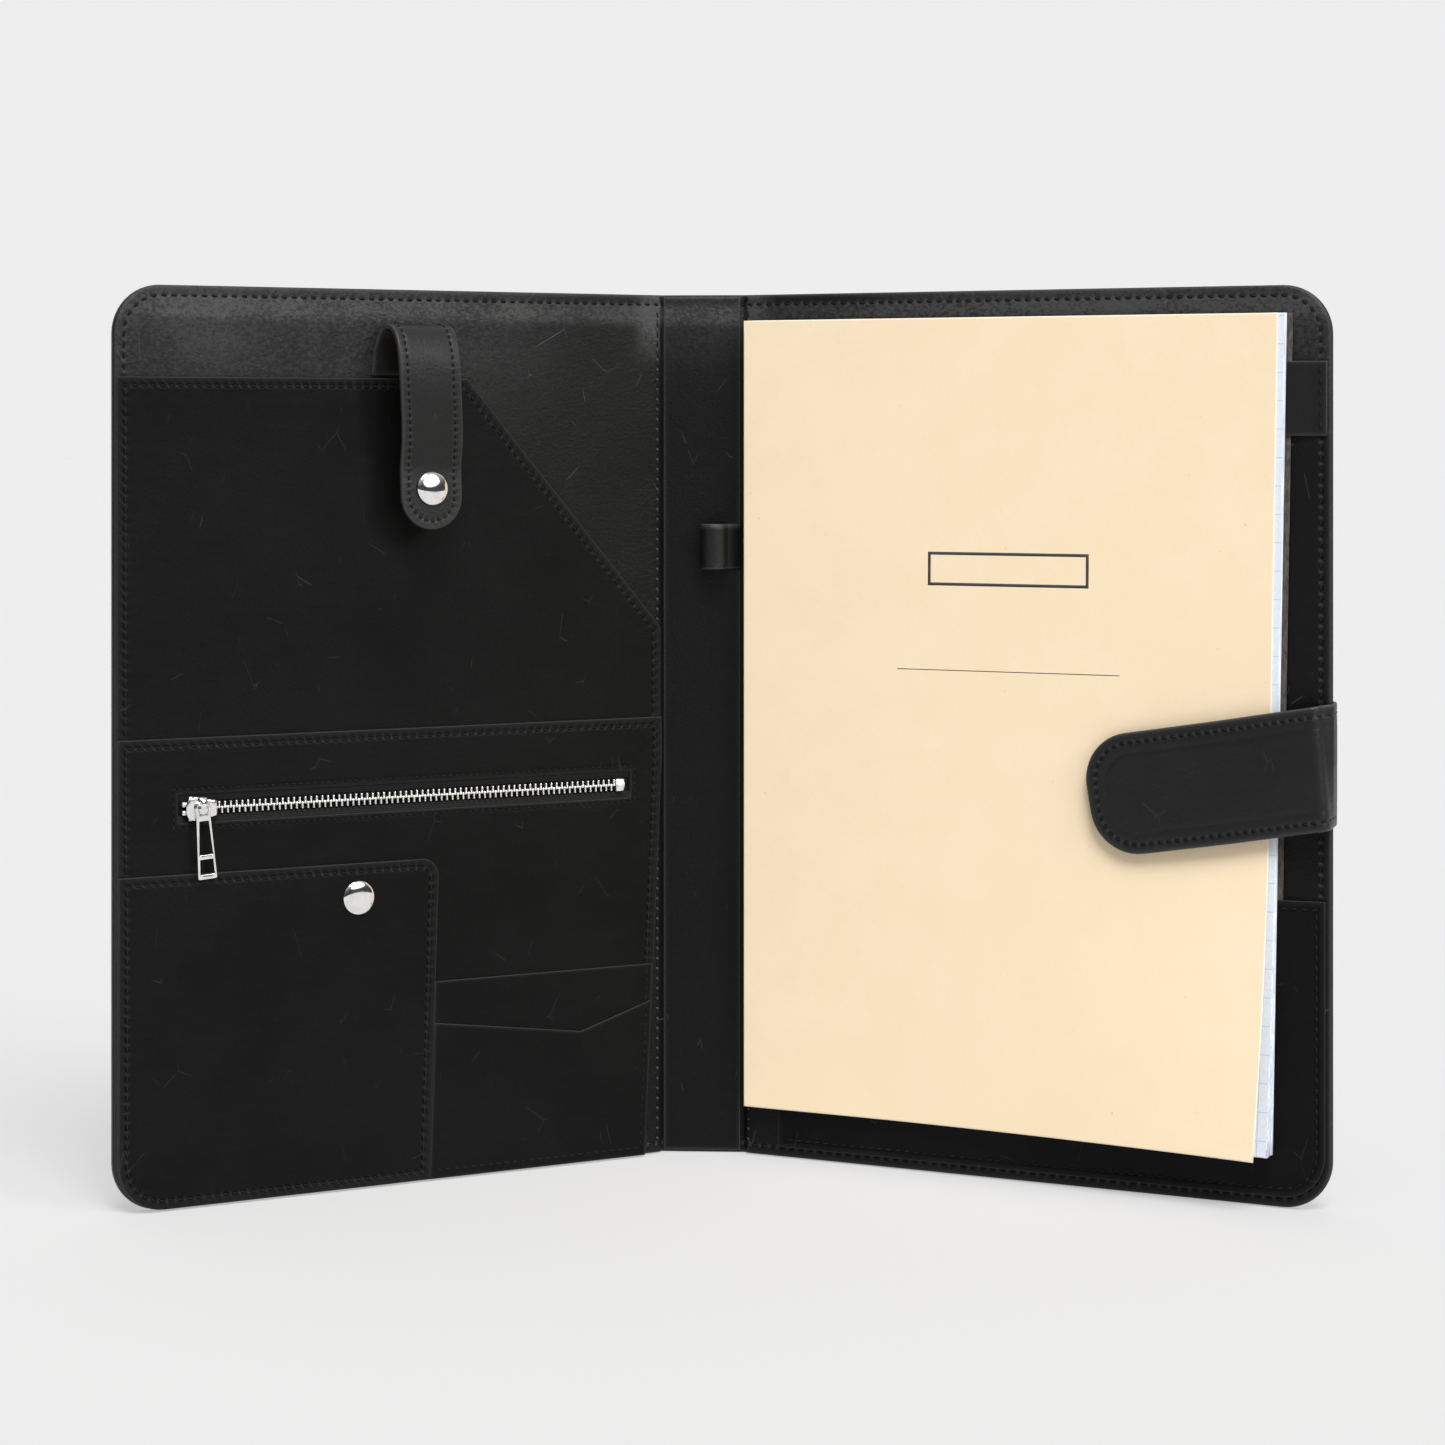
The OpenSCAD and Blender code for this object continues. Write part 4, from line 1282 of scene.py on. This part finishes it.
PULL_LEAN = math.radians(-4.3)
pull_foot = pull_low[2] - zip_z
pull_half = (pull_high[0] - pull_low[0]) / 2
pull_outline = [
    (-pull_half + 0.5, pull_foot), (pull_half - 0.5, pull_foot), (pull_half, pull_foot + 0.5),
    (2.7, -1.6), *arc(0, 0, 2.9, -10, 190, 16), (-2.7, -1.6), (-pull_half, pull_foot + 0.5),
]
pull_edge = [
    *rings_at(pull_low[1], (0.35, 0, 0.5), (0.05, 0.2, 1)),
    (0, (pull_low[1] + pull_high[1]) / 2, 1),
    *rings_at(pull_high[1], (0.08, -0.2, 1), (0.3, 0, 0.6), (0.5, 0, 0.4)),
]
hole_edge = rings_at(pull_low[1], (0.1, 0, 0.5), (0, 0.15, 1)) + rings_at(
    pull_high[1], (0, -0.2, 1), (0.1, -0.03, 0.6), (0.2, 0, 0.4)
)
pull_holes = [
    arc(0, 0, 1.5, 0, 345, 23),
    [(-2.55, -16.2), (2.55, -16.2), (1.75, -4.3), (-1.75, -4.3)],
    [(-2.65, pull_foot + 1.9), (2.65, pull_foot + 1.9), (2.45, pull_foot + 7.1),
     (-2.45, pull_foot + 7.1)],
]


def at_pull(points):
    """Hangs an outline from the pull's pivot, a little askew."""
    c, s = math.cos(PULL_LEAN), math.sin(PULL_LEAN)
    return [(slider_u + u * c - z * s, zip_z + u * s + z * c) for u, z in points]


zip_pull = panel(
    "zip_pull_tab", at_pull(pull_outline), pull_edge, FRONT, SLIDER, step=None, edge_step=1.5,
    holes=[(at_pull(hole), hole_edge) for hole in pull_holes],
)
sit(zip_pull, "zip_pull", "zip_pull", "zip_metal")

# ---- Snaps ----------------------------------------------------------------------------


def dome(r, low, high):
    """Profile of a pressed cap with a rolled rim and a domed top."""
    rise = high - low
    profile = [(0, low), (r * 0.9, low), (r, low + rise * 0.12), (r, low + rise * 0.3)]
    for i in range(1, 9):
        a = math.radians(90 * i / 9)
        profile.append((r * 0.985 * math.cos(a) ** 0.9, low + rise * (0.3 + 0.7 * math.sin(a))))
    return profile + [(0, high)]


def snap_place(node):
    """A snap part's middle as (u, z), its radius, and its lower and upper w."""
    low, high = FRONT.box(node)
    u, _, z = (low + high) / 2
    return (u, z), (high[0] - low[0]) / 2, low[1], high[1]


phone_level = FRONT.box("phone_pocket")[1][1]
phone_at, snap_r, _, cap_top = snap_place("phone_snap_cap")
phone_cap = lathe(
    "phone_snap_dome", FRONT, phone_at, dome(snap_r, phone_level - 0.05, cap_top + 0.6), SNAP
)
sit(phone_cap, "front_cover", "phone_snap_cap", "snap_metal")
STUD_SHAPE = (  # share of its radius and of its height
    (0, 0), (1, 0), (1, 0.2), (0.95, 0.3), (0.5, 0.4), (0.46, 0.7), (0.55, 0.85), (0.4, 1), (0, 1)
)
for name, node in (
    ("pocket_snap_post", "pocket_snap_stud"), ("phone_snap_rivet", "phone_snap_stud")
):
    middle, r, low, high = snap_place(node)
    stud = lathe(
        name, FRONT, middle, [(r * k, low + (high - low) * rise) for k, rise in STUD_SHAPE], SNAP
    )
    sit(stud, "front_cover", node, "snap_metal")

# ---- Pocket strap ---------------------------------------------------------------------
# The strap is drawn flat: u across it and z up its hanging part, from the hinge.

strap_u, strap_w, strap_z = FRONT.joint("pocket_strap_hinge")
anchor_low, anchor_high = FRONT.box("pocket_strap_anchor")
strap_half = (anchor_high[0] - anchor_low[0]) / 2
strap_r = strap_w - (anchor_low[1] + anchor_high[1]) / 2
strap_drop = strap_z - FRONT.box("pocket_strap_face")[0][2]
anchor_drop = strap_z - anchor_low[2] - 1
STRAP_HALF_T = 1.0
STRAP_SEAM = 3.0
STRAP_PITCH = 2.6
ANCHOR_THIN = 0.4
HANG_ASIDE, LOOP_ASIDE = 2.4, 3.6
LEAN = math.radians(3)


def strap_line():
    """The strap's middle line as (w, z) from its hinge axis: tip, hanging part, loop, anchor."""
    knots = [
        (strap_r + drop * math.sin(LEAN), -drop * math.cos(LEAN))
        for drop in (strap_drop, 62, 54, 46)
    ] + [
        (9.1, -36), (10.7, -26), (11.6, -16), (11.2, -7.5), (9.2, -1), (6.0, 3.2), (2.2, 4.75),
        (-1.2, 4.1), (-3.6, 1.2), (-4.7, -3.5), (-strap_r, -8), (-strap_r, -anchor_drop),
    ]
    knots = np.array(knots)
    knots = np.vstack([2 * knots[0] - knots[1], knots, 2 * knots[-1] - knots[-2]])
    line = []
    for p0, p1, p2, p3 in zip(knots, knots[1:], knots[2:], knots[3:]):
        for t in np.arange(0, 1, 0.125):
            line.append(0.5 * (
                2 * p1 + (p2 - p0) * t + (2 * p0 - 5 * p1 + 4 * p2 - p3) * t * t
                + (3 * p1 - p0 - 3 * p2 + p3) * t ** 3
            ))
    return np.array(line + [knots[-2]])


strap_path = strap_line()
path_at = np.concatenate([[0], np.cumsum(np.linalg.norm(np.diff(strap_path, axis=0), axis=1))])
path_dir = np.gradient(strap_path, path_at, axis=0)
path_dir /= np.linalg.norm(path_dir, axis=1)[:, None]
strap_top = path_at[-1]


def strap_at(u, w, along):
    """Lays the flat strap along its line. along runs from the tip to the anchored end."""
    dw, dz = (np.interp(along, path_at, path_dir[:, k]) for k in (0, 1))
    pw, pz = (np.interp(along, path_at, strap_path[:, k]) for k in (0, 1))
    w *= 1 - ANCHOR_THIN * ramp(along, strap_top - 14, strap_top - 8)
    aside = HANG_ASIDE * ramp(along, 25, 62) + LOOP_ASIDE * ramp(along, 72, 98)
    return FRONT(strap_u + u + aside, strap_w + pw + dz * w, strap_z + pz - dw * w)


fold_rows = [float(at) for at in np.arange(40, strap_top - 1, 1.5)]
strap_outline = (
    arc(0, strap_half, strap_half, 180, 360, 24) + [(strap_half, at) for at in fold_rows]
    + [(strap_half, strap_top), (-strap_half, strap_top)]
    + [(-strap_half, at) for at in reversed(fold_rows)]
)
strap_piece = panel(
    "pocket_strap_leather", strap_outline,
    [(1.6, -1, 0), (0.4, -1, 0.3), (0.08, -0.75, 0.8), (0.0, -0.3, 1), (0.14, -0.03, 1),
     (0.0, 0.3, 1), (0.1, 0.75, 1), (0.45, 0.98, 0.7), (0.8, 1, 0.2),
     *groove_rings(STRAP_SEAM, 1, 0.16, 0.625, 0.3, 0.7), (4.6, 1, 0)],
    strap_at, STRAP, step=3.0, rows=fold_rows, back_step=6.0,
    sewn=(STRAP_SEAM, STRAP_PITCH, 0.12, 1),
)
strap_seam = stitches(
    "pocket_strap_seam", inset_line(strap_outline, STRAP_SEAM, 1.2), strap_at, 0.9, STRAP_PITCH,
    lambda u, at: at < strap_top - 4, slant=6.0,
)
# The blend reaches down the hanging part, so that the opened loop stays in front of the lining
BLEND_SLOPE = 0.18
BLEND_LENGTH = 16
blend_w, blend_z = strap_w - strap_r + 1.2, strap_z - anchor_drop
blend_reach = BLEND_LENGTH / (1 + BLEND_SLOPE ** 2)
for piece in (strap_piece, strap_seam):
    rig.blend(
        piece, "front_cover", "pocket_strap", FRONT(strap_u, blend_w, blend_z),
        FRONT(strap_u, blend_w + blend_reach, blend_z - BLEND_SLOPE * blend_reach),
    )
    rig.slot(piece, "strap_leather")
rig.replaces(
    strap_piece, "pocket_strap_anchor", "pocket_strap_fold", "pocket_strap_face",
    "pocket_strap_backing",
)

cap_drop = snap_place("pocket_snap_cap")[0][1] - strap_z
cap_at = float(path_at[np.argmin(abs(strap_path[:40, 1] - cap_drop))])


def on_strap(u, w, z):
    """Flat places around the snap, with w from the strap's hinge line."""
    return strap_at(u, w - strap_r, cap_at + z)


strap_back, strap_face = strap_r - STRAP_HALF_T, strap_r + STRAP_HALF_T
strap_cap = lathe(
    "pocket_snap_dome", on_strap, (0, 0), dome(snap_r, strap_face - 0.05, strap_face + 2.1), SNAP
)
sit(strap_cap, "pocket_strap", "pocket_snap_cap", "snap_metal")
SOCKET_SHAPE = (  # radius, and how far it stands out behind the strap
    (0, 0.1), (1.9, 0.1), (2.2, 0.75), (2.9, 0.85), (3.9, 0.6), (4.5, 0.2), (4.5, -0.1), (0, -0.1)
)
socket = lathe(
    "pocket_snap_socket_ring", on_strap, (0, 0),
    [(r, strap_back - out) for r, out in SOCKET_SHAPE], SNAP,
)
sit(socket, "pocket_strap", "pocket_snap_socket", "snap_metal")

# ---- Back cover -----------------------------------------------------------------------

HOLDER_T = 0.8
HOLDER_SLOPE = (12.0, 3.5)
HOLDER_FOOT = 14
HOLDER_SEAM = 3.0
tab_low, tab_high = BACK.box("pad_retaining_tab")
pocket_low, pocket_high = BACK.box("pad_pocket")


def holder_relief(high, foot_z=None):
    """A pad holder comes down to the lining where it is sewn, at its free edge and foot."""
    def relief(u, z):
        side = ramp(u, high[0] - HOLDER_SLOPE[0], high[0] - HOLDER_SLOPE[1])
        foot = 0 if foot_z is None else ramp(foot_z + HOLDER_FOOT - z, 0, 10)
        return -(high[1] - HOLDER_T - inside) * max(foot, side)
    return relief


pad_relief, tab_relief = holder_relief(pocket_high, pocket_low[2]), holder_relief(tab_high)
pad_r = corner_r - (back_w - pocket_high[0])
pad_pocket_outline = [
    (pocket_low[0], pocket_low[2]),
    *arc(back_w - corner_r, pocket_low[2] + pad_r, pad_r, 270, 360),
    (pocket_high[0], pocket_high[2]), (pocket_low[0], pocket_high[2]),
]
pad_pocket = panel(
    "pad_pocket_leather", pad_pocket_outline,
    leather_edge(pocket_high[1] - HOLDER_T, pocket_high[1], HOLDER_SEAM, round_r=0.25),
    BACK, POCKET, relief=pad_relief, back_step=6.0,
)
sit(pad_pocket, "back_cover", "pad_pocket", "pocket_leather")
pad_seam = stitches(
    "pad_pocket_seam", inset_line(pad_pocket_outline, HOLDER_SEAM), BACK, pocket_high[1] - 0.1,
    3.6, lambda u, z: u > pocket_low[0] + 4, pad_relief,
)
sit(pad_seam, "back_cover", None, "pocket_leather")
tab = panel(
    "pad_tab_leather", rectangle(tab_low[0], tab_low[2], back_w - 1.3, tab_high[2]),
    leather_edge(tab_high[1] - HOLDER_T, tab_high[1], round_r=0.25),
    BACK, STRAP, step=3.0, relief=tab_relief, back_step=3.0, edge_step=3.0,
)
sit(tab, "back_cover", "pad_retaining_tab", "strap_leather")
tab_seam = stitches(
    "pad_tab_seam", [(back_w - SEAM_INSET, z) for z in (tab_low[2] + 1.5, tab_high[2] - 1.5)],
    BACK, tab_high[1] - 0.05, SEAM_PITCH, None, tab_relief, closed=False,
)
sit(tab_seam, "back_cover", None, "strap_leather")

# ---- Closure strap --------------------------------------------------------------------
# Drawn flat: u from its hinge line towards its tip, z across it.

closure_u, closure_w, closure_z = BACK.joint("closure_strap_hinge")
closure_axis = Vector(joints["closure_strap_hinge"]["axis"])
tilt = math.atan2(-closure_axis.dot(BACK.axes[0]), closure_axis.z)
base_low, base_high = BACK.box("closure_strap_base")
closure_half = (base_high[2] - base_low[2]) / 2
half_t = (base_high[1] - base_low[1]) / 2
closure_r = closure_w - (base_low[1] + base_high[1]) / 2
base_l = closure_u - base_low[0]
face_points = BACK.points("closure_strap_face")
closure_l = (
    (closure_u - face_points[:, 0]) * math.cos(2 * tilt)
    + (closure_z - face_points[:, 2]) * math.sin(2 * tilt)
).max()
CLOSURE_TIP_R = 17.0
CLOSURE_SEAM = 3.5
CLOSURE_PITCH = 3.2
CLOSURE_BOW = 1.6
CLOSURE_IN = 0.3
FULL_TILT = 4.6
DRAWN_IN = (45, 4)
FOLD_R = 3.0
FOLD_QUARTER = math.pi / 2 * FOLD_R
FOLD_THIN = 0.42
FOLD_IN = 0.32
FOLD_STEP = 0.8
fold_side = 2 * (closure_r - FOLD_R)


def fold_point(t, w):
    """A point of the folded strap as (inward, level), t from where its face leaves the flat."""
    bent = ramp(t, 0, FOLD_QUARTER) * ramp(2 * FOLD_QUARTER + fold_side - t, 0, FOLD_QUARTER)
    w *= 1 - (1 - FOLD_THIN) * bent
    centre = FOLD_R + FOLD_IN * bent
    if t < 0:
        return FOLD_R - t, closure_r + w
    if t < FOLD_QUARTER:
        a = t / FOLD_R
        return centre - (FOLD_R + w) * math.sin(a), closure_r - FOLD_R + (FOLD_R + w) * math.cos(a)
    t -= FOLD_QUARTER
    if t < fold_side:
        return centre - FOLD_R - w, closure_r - FOLD_R - t
    t -= fold_side
    if t < FOLD_QUARTER:
        a = t / FOLD_R
        return centre - (FOLD_R + w) * math.cos(a), FOLD_R - closure_r - (FOLD_R + w) * math.sin(a)
    return FOLD_R + t - FOLD_QUARTER, -closure_r - w


def closure_at(u, w, z):
    """Folds the flat strap round the cover's free edge; past the edge it leans with its tilt."""
    from_fold = u * math.cos(tilt) + z * math.sin(tilt)
    along = z * math.cos(tilt) - u * math.sin(tilt)
    inward, level = fold_point(FOLD_R - from_fold, w)
    if level > 0:
        follow = ramp(level, 0, FULL_TILT)
        drawn_in = closure_half * math.sin(tilt) * follow * ramp(inward, *DRAWN_IN)
    else:
        follow, drawn_in = ramp(inward, 0.3, 5), 0
    level += CLOSURE_BOW * math.sin(math.pi * min(1, max(0, u / closure_l)) ** 0.75)
    from_edge = CLOSURE_IN + inward * math.cos(tilt) + along * math.sin(tilt) * follow + drawn_in
    z = closure_z - inward * math.sin(tilt) + along * math.cos(tilt)
    return BACK(closure_u - from_edge, closure_w + level, z)


def closure_relief(u, z):
    """The strap is a little fuller between its seams."""
    across = 1 - (z / closure_half) ** 2
    return (0.45 * ramp(u, -4, 20) + 0.2 * soft(u, z, 22.0, 5.2) * ramp(u, 0, 15)) * across


closure_end = -(2 * FOLD_QUARTER + fold_side + base_l - 2 * FOLD_R)
closure_columns = [FOLD_STEP * k - 19 for k in range(32)]
tip_u, tip_z = closure_l - CLOSURE_TIP_R, closure_half - CLOSURE_TIP_R
closure_outline = (
    [(c, -closure_half) for c in (closure_end, *closure_columns)]
    + arc(tip_u, -tip_z, CLOSURE_TIP_R, 270, 360) + arc(tip_u, tip_z, CLOSURE_TIP_R, 0, 90)
    + [(c, closure_half) for c in (*reversed(closure_columns), closure_end)]
)
closure_profile = [
    *rings_at(-half_t, (1.6, 0, 0), (0.5, 0, 0.4), (0.1, 0.3, 1)),
    (0, -0.25, 1), (0.16, 0.12, 1), (0, 0.45, 1),
    *rings_at(half_t, (0.12, -0.35, 1), (0.55, -0.04, 0.8), (1.0, 0, 0.3), (2.2, 0, 0)),
    *groove_rings(CLOSURE_SEAM, half_t, flank=0.4, reach=0.8),
    *rings_at(
        half_t, (4.8, 0, 0), (6.9, 0.12, 0), (7.4, -0.02, 0), (7.9, 0.12, 0), (9.5, 0.14, 0)
    ),
]
closure_piece = panel(
    "closure_strap_leather", closure_outline, closure_profile, closure_at, STRAP, step=4.0,
    columns=closure_columns, relief=closure_relief, back_step=6.0,
    sewn=(CLOSURE_SEAM, CLOSURE_PITCH, 0.16, 1),
)
closure_seam = stitches(
    "closure_strap_seam", inset_line(closure_outline, CLOSURE_SEAM, 1.5), closure_at,
    half_t - 0.14, CLOSURE_PITCH, None, closure_relief,
)
for piece in (closure_piece, closure_seam):
    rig.blend(
        piece, "back_cover", "closure_strap", BACK(closure_u, outside + 0.1, closure_z),
        BACK(closure_u, closure_w + closure_r - half_t - 0.1, closure_z),
    )
    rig.slot(piece, "strap_leather")
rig.replaces(
    closure_piece, "closure_strap_base", "closure_strap_fold", "closure_strap_face",
    "closure_strap_backing",
)

# ---- Refill pad -----------------------------------------------------------------------

pages_low, pages_high = BACK.box("notebook_pages")
cover_low, cover_high = BACK.box("notebook_cover")
COVER_LIFT = 14.0
PAGES_LIFT = 6.0
LIFT_U = 40.0
LIFT_Z = 125.0
PAD_LEAN = math.radians(0.5)
EDGE_LEAN = 1.95
CORNER_PULL = 0.4


def corner(u, z):
    """1 at a sheet's free lower corner, falling to 0 away from it."""
    start = pages_low[0] + LIFT_U
    out = max(0, (u - start) / (pages_high[0] - start))
    down = max(0, 1 - (z - pages_low[2]) / LIFT_Z)
    return out ** 1.8 * down ** 1.7


def lifted(amount):
    """How far a sheet's free lower corner curls up."""
    return lambda u, z: amount * corner(u, z)


def pad_at(u, w, z):
    """The pad leans slightly in its holder, and its curled corner draws in."""
    u -= CORNER_PULL * corner(u, z) * ramp(w, pages_low[1], cover_high[1] + COVER_LIFT)
    out = max(0, (u - pages_low[0]) / (pages_high[0] - pages_low[0]))
    return BACK(u - (pages_high[2] - z) * math.sin(PAD_LEAN) * EDGE_LEAN * out, w, z)


def leaf(name, low, high, material, lift, step, trims):
    """One thin sheet of the pad. trims are how far it stops short at its free edge and foot."""
    outline = rectangle(low[0], low[2] + trims[1], high[0] - trims[0], high[2])
    profile = [
        (0.5, low[1], 0), (0.02, low[1], 1), (0, (low[1] + high[1]) / 2, 1), (0.02, high[1], 1),
        (0.5, high[1], 0),
    ]
    return panel(name, outline, profile, pad_at, material, step=step, edge_step=6.0,
                 relief=lifted(lift), back_step=step)


random.seed(4)
LEAVES = 8
LEAF_GAP = 0.01
leaf_t = (pages_high[1] - pages_low[1]) / LEAVES
leaves = []
for i in range(LEAVES):
    low, high = pages_low.copy(), pages_high.copy()
    low[1] = pages_low[1] + i * leaf_t + LEAF_GAP
    high[1] = low[1] + leaf_t - 2 * LEAF_GAP
    trims = (random.uniform(0.9, 1.25), random.uniform(0, 0.3))
    lift = PAGES_LIFT * ((i + 1) / LEAVES) ** 1.5
    leaves.append(leaf(f"leaf_{i}", low, high, PAPER, lift, 12.0, trims))
pages = joined("notebook_page_block", leaves)
sit(pages, "notebook", "notebook_pages", "paper")
card_cover = leaf(
    "notebook_card_cover", cover_low, cover_high, CARD, COVER_LIFT, 7.0, (2.0, 0)
)
sit(card_cover, "notebook_cover", "notebook_cover", "card_cover")

low, high = BACK.box("notebook_backboard")
backboard = blocks("notebook_grey_board", pad_at, BACKBOARD, [
    ((low[0], low[1] + 0.3, low[2]), (high[0] - 1.0, high[1], high[2]), 0.15)
])
sit(backboard, "notebook", "notebook_backboard", "backboard")
binding = blocks("notebook_glued_edge", pad_at, CARD, [(*BACK.box("notebook_binding"), 0.15)])
sit(binding, "notebook", "notebook_binding", "card_cover")

# A plain title box and a thin rule are printed on the cover
PRINT_ASIDE = 2.2
print_u = (cover_low[0] + cover_high[0]) / 2 + PRINT_ASIDE
INK_T = 0.02
TITLE_Z, TITLE_HALF_U, TITLE_HALF_Z, TITLE_LINE = 223.7, 31.0, 6.2, 1.1
RULE_Z, RULE_HALF_U, RULE_HALF_Z = 186.4, 43.0, 0.15


def printed(name, z, half_u, half_z, line=None):
    """A printed bar, or an empty box when it has a line's width."""
    profile = [(0, cover_high[1], 0), (0, cover_high[1] + INK_T, 0)]

    def shape(d):
        return rectangle(
            print_u - half_u + d, z - half_z + d, print_u + half_u - d, z + half_z - d
        )

    mark = panel(
        name, shape(0), profile, pad_at, INK, step=None, relief=lifted(COVER_LIFT),
        holes=[(shape(line), profile)] if line else (),
    )
    sit(mark, "notebook_cover", None, "card_cover")


printed("printed_title_box", TITLE_Z, TITLE_HALF_U, TITLE_HALF_Z, TITLE_LINE)
printed("printed_rule", RULE_Z, RULE_HALF_U, RULE_HALF_Z)

# ---- CAD nodes that stay ---------------------------------------------------------------

for node, material in (
    ("front_board", BOARD), ("back_board", BOARD), ("front_magnet", MAGNET),
    ("closure_magnet", MAGNET),
):
    mesh = frame["nodes"][node].data
    mesh.materials.clear()
    mesh.materials.append(material)

# ---- Floor, light and camera ------------------------------------------------------------

BACKDROP = 0.855
FLOOR_GREY = (0.2835, 0.2885)
FLOOR_GLOW = 0.5
FLOOR_HALF = 30
FLOOR_DROP = 0.0002
KEY = Vector((0.14, -0.66, 1.0))
SIDE = Vector((0.85, -0.5, 0.42))
WINDOW = Vector((0.7, -0.62, 0.5)).normalized()


def floor():
    n = material_nodes("studio_floor")
    speckle = n.noise(n.object_place(), 3.0, 2.0)
    matt = n.finish(
        n.mix(speckle, *map(grey, FLOOR_GREY)), 0.95, 0.0,
        Emission_Color=grey(BACKDROP), Emission_Strength=FLOOR_GLOW,
    )
    bm = bmesh.new()
    bmesh.ops.create_grid(bm, x_segments=8, y_segments=8, size=FLOOR_HALF)
    piece = new_object("floor", bm, matt)
    piece.location.z = -FLOOR_DROP
    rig.stage(piece)


def world():
    """A studio: a bright tent above and behind, a soft window in front, the rest dim.

    The camera sees only the even backdrop.
    """
    studio = bpy.data.worlds.new("studio")
    bpy.context.scene.world = studio
    n = Nodes(studio)
    n.tree.nodes.clear()
    towards = n.node("TexCoord", None, "Generated")
    to_window = n.node(
        "VectorMath", {0: towards, 1: tuple(WINDOW)}, "Value", operation="DOT_PRODUCT"
    )
    above = n.remap(n.axis(towards, "Z"), 0.15, 0.95, 0.0, 0.75)
    behind = n.remap(n.axis(towards, "Y"), 0.0, 0.75, 0.0, 0.55)
    window = n.remap(to_window, 0.93, 0.955, 0.0, 3.2)
    tent = n.node("Background", {"Strength": n.plus(above, behind, window, 0.07)})
    seen = n.node("Background", {"Color": grey(BACKDROP)})
    camera_ray = n.node("LightPath", None, "Is Camera Ray")
    n.node("OutputWorld", {"Surface": n.node("MixShader", {0: camera_ray, 1: tent, 2: seen})})


def sun(name, source, strength, angle):
    light = bpy.data.lights.new(name, "SUN")
    light.energy = strength
    light.angle = math.radians(angle)
    lamp = bpy.data.objects.new(name, light)
    bpy.context.scene.collection.objects.link(lamp)
    lamp.rotation_euler = (-source).to_track_quat("-Z", "Y").to_euler()


def camera():
    """Level, at the height of the upper cover, a little right of the spine."""
    data = bpy.data.cameras.new("camera")
    data.lens = 83.8
    data.sensor_width = 36
    data.shift_x = 0.0795
    data.shift_y = -0.203
    lens = bpy.data.objects.new("camera", data)
    bpy.context.scene.collection.objects.link(lens)
    lens.location = (spine_centre.x + 0.035, spine_centre.y - 1.280, 0.275)
    lens.rotation_euler = (math.radians(90), 0, math.radians(3.2))
    bpy.context.scene.camera = lens


floor()
world()
sun("key", KEY, 2.75, 26)
sun("side", SIDE, 0.55, 14)
camera()
bpy.context.scene.view_settings.view_transform = "Standard"

seen_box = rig.bounds()
with open("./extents.json", "w") as f:
    json.dump({
        "cad": [list(cad_box[0]), list(cad_box[1])], "visual": [list(seen_box[0]), list(seen_box[1])]
    }, f)
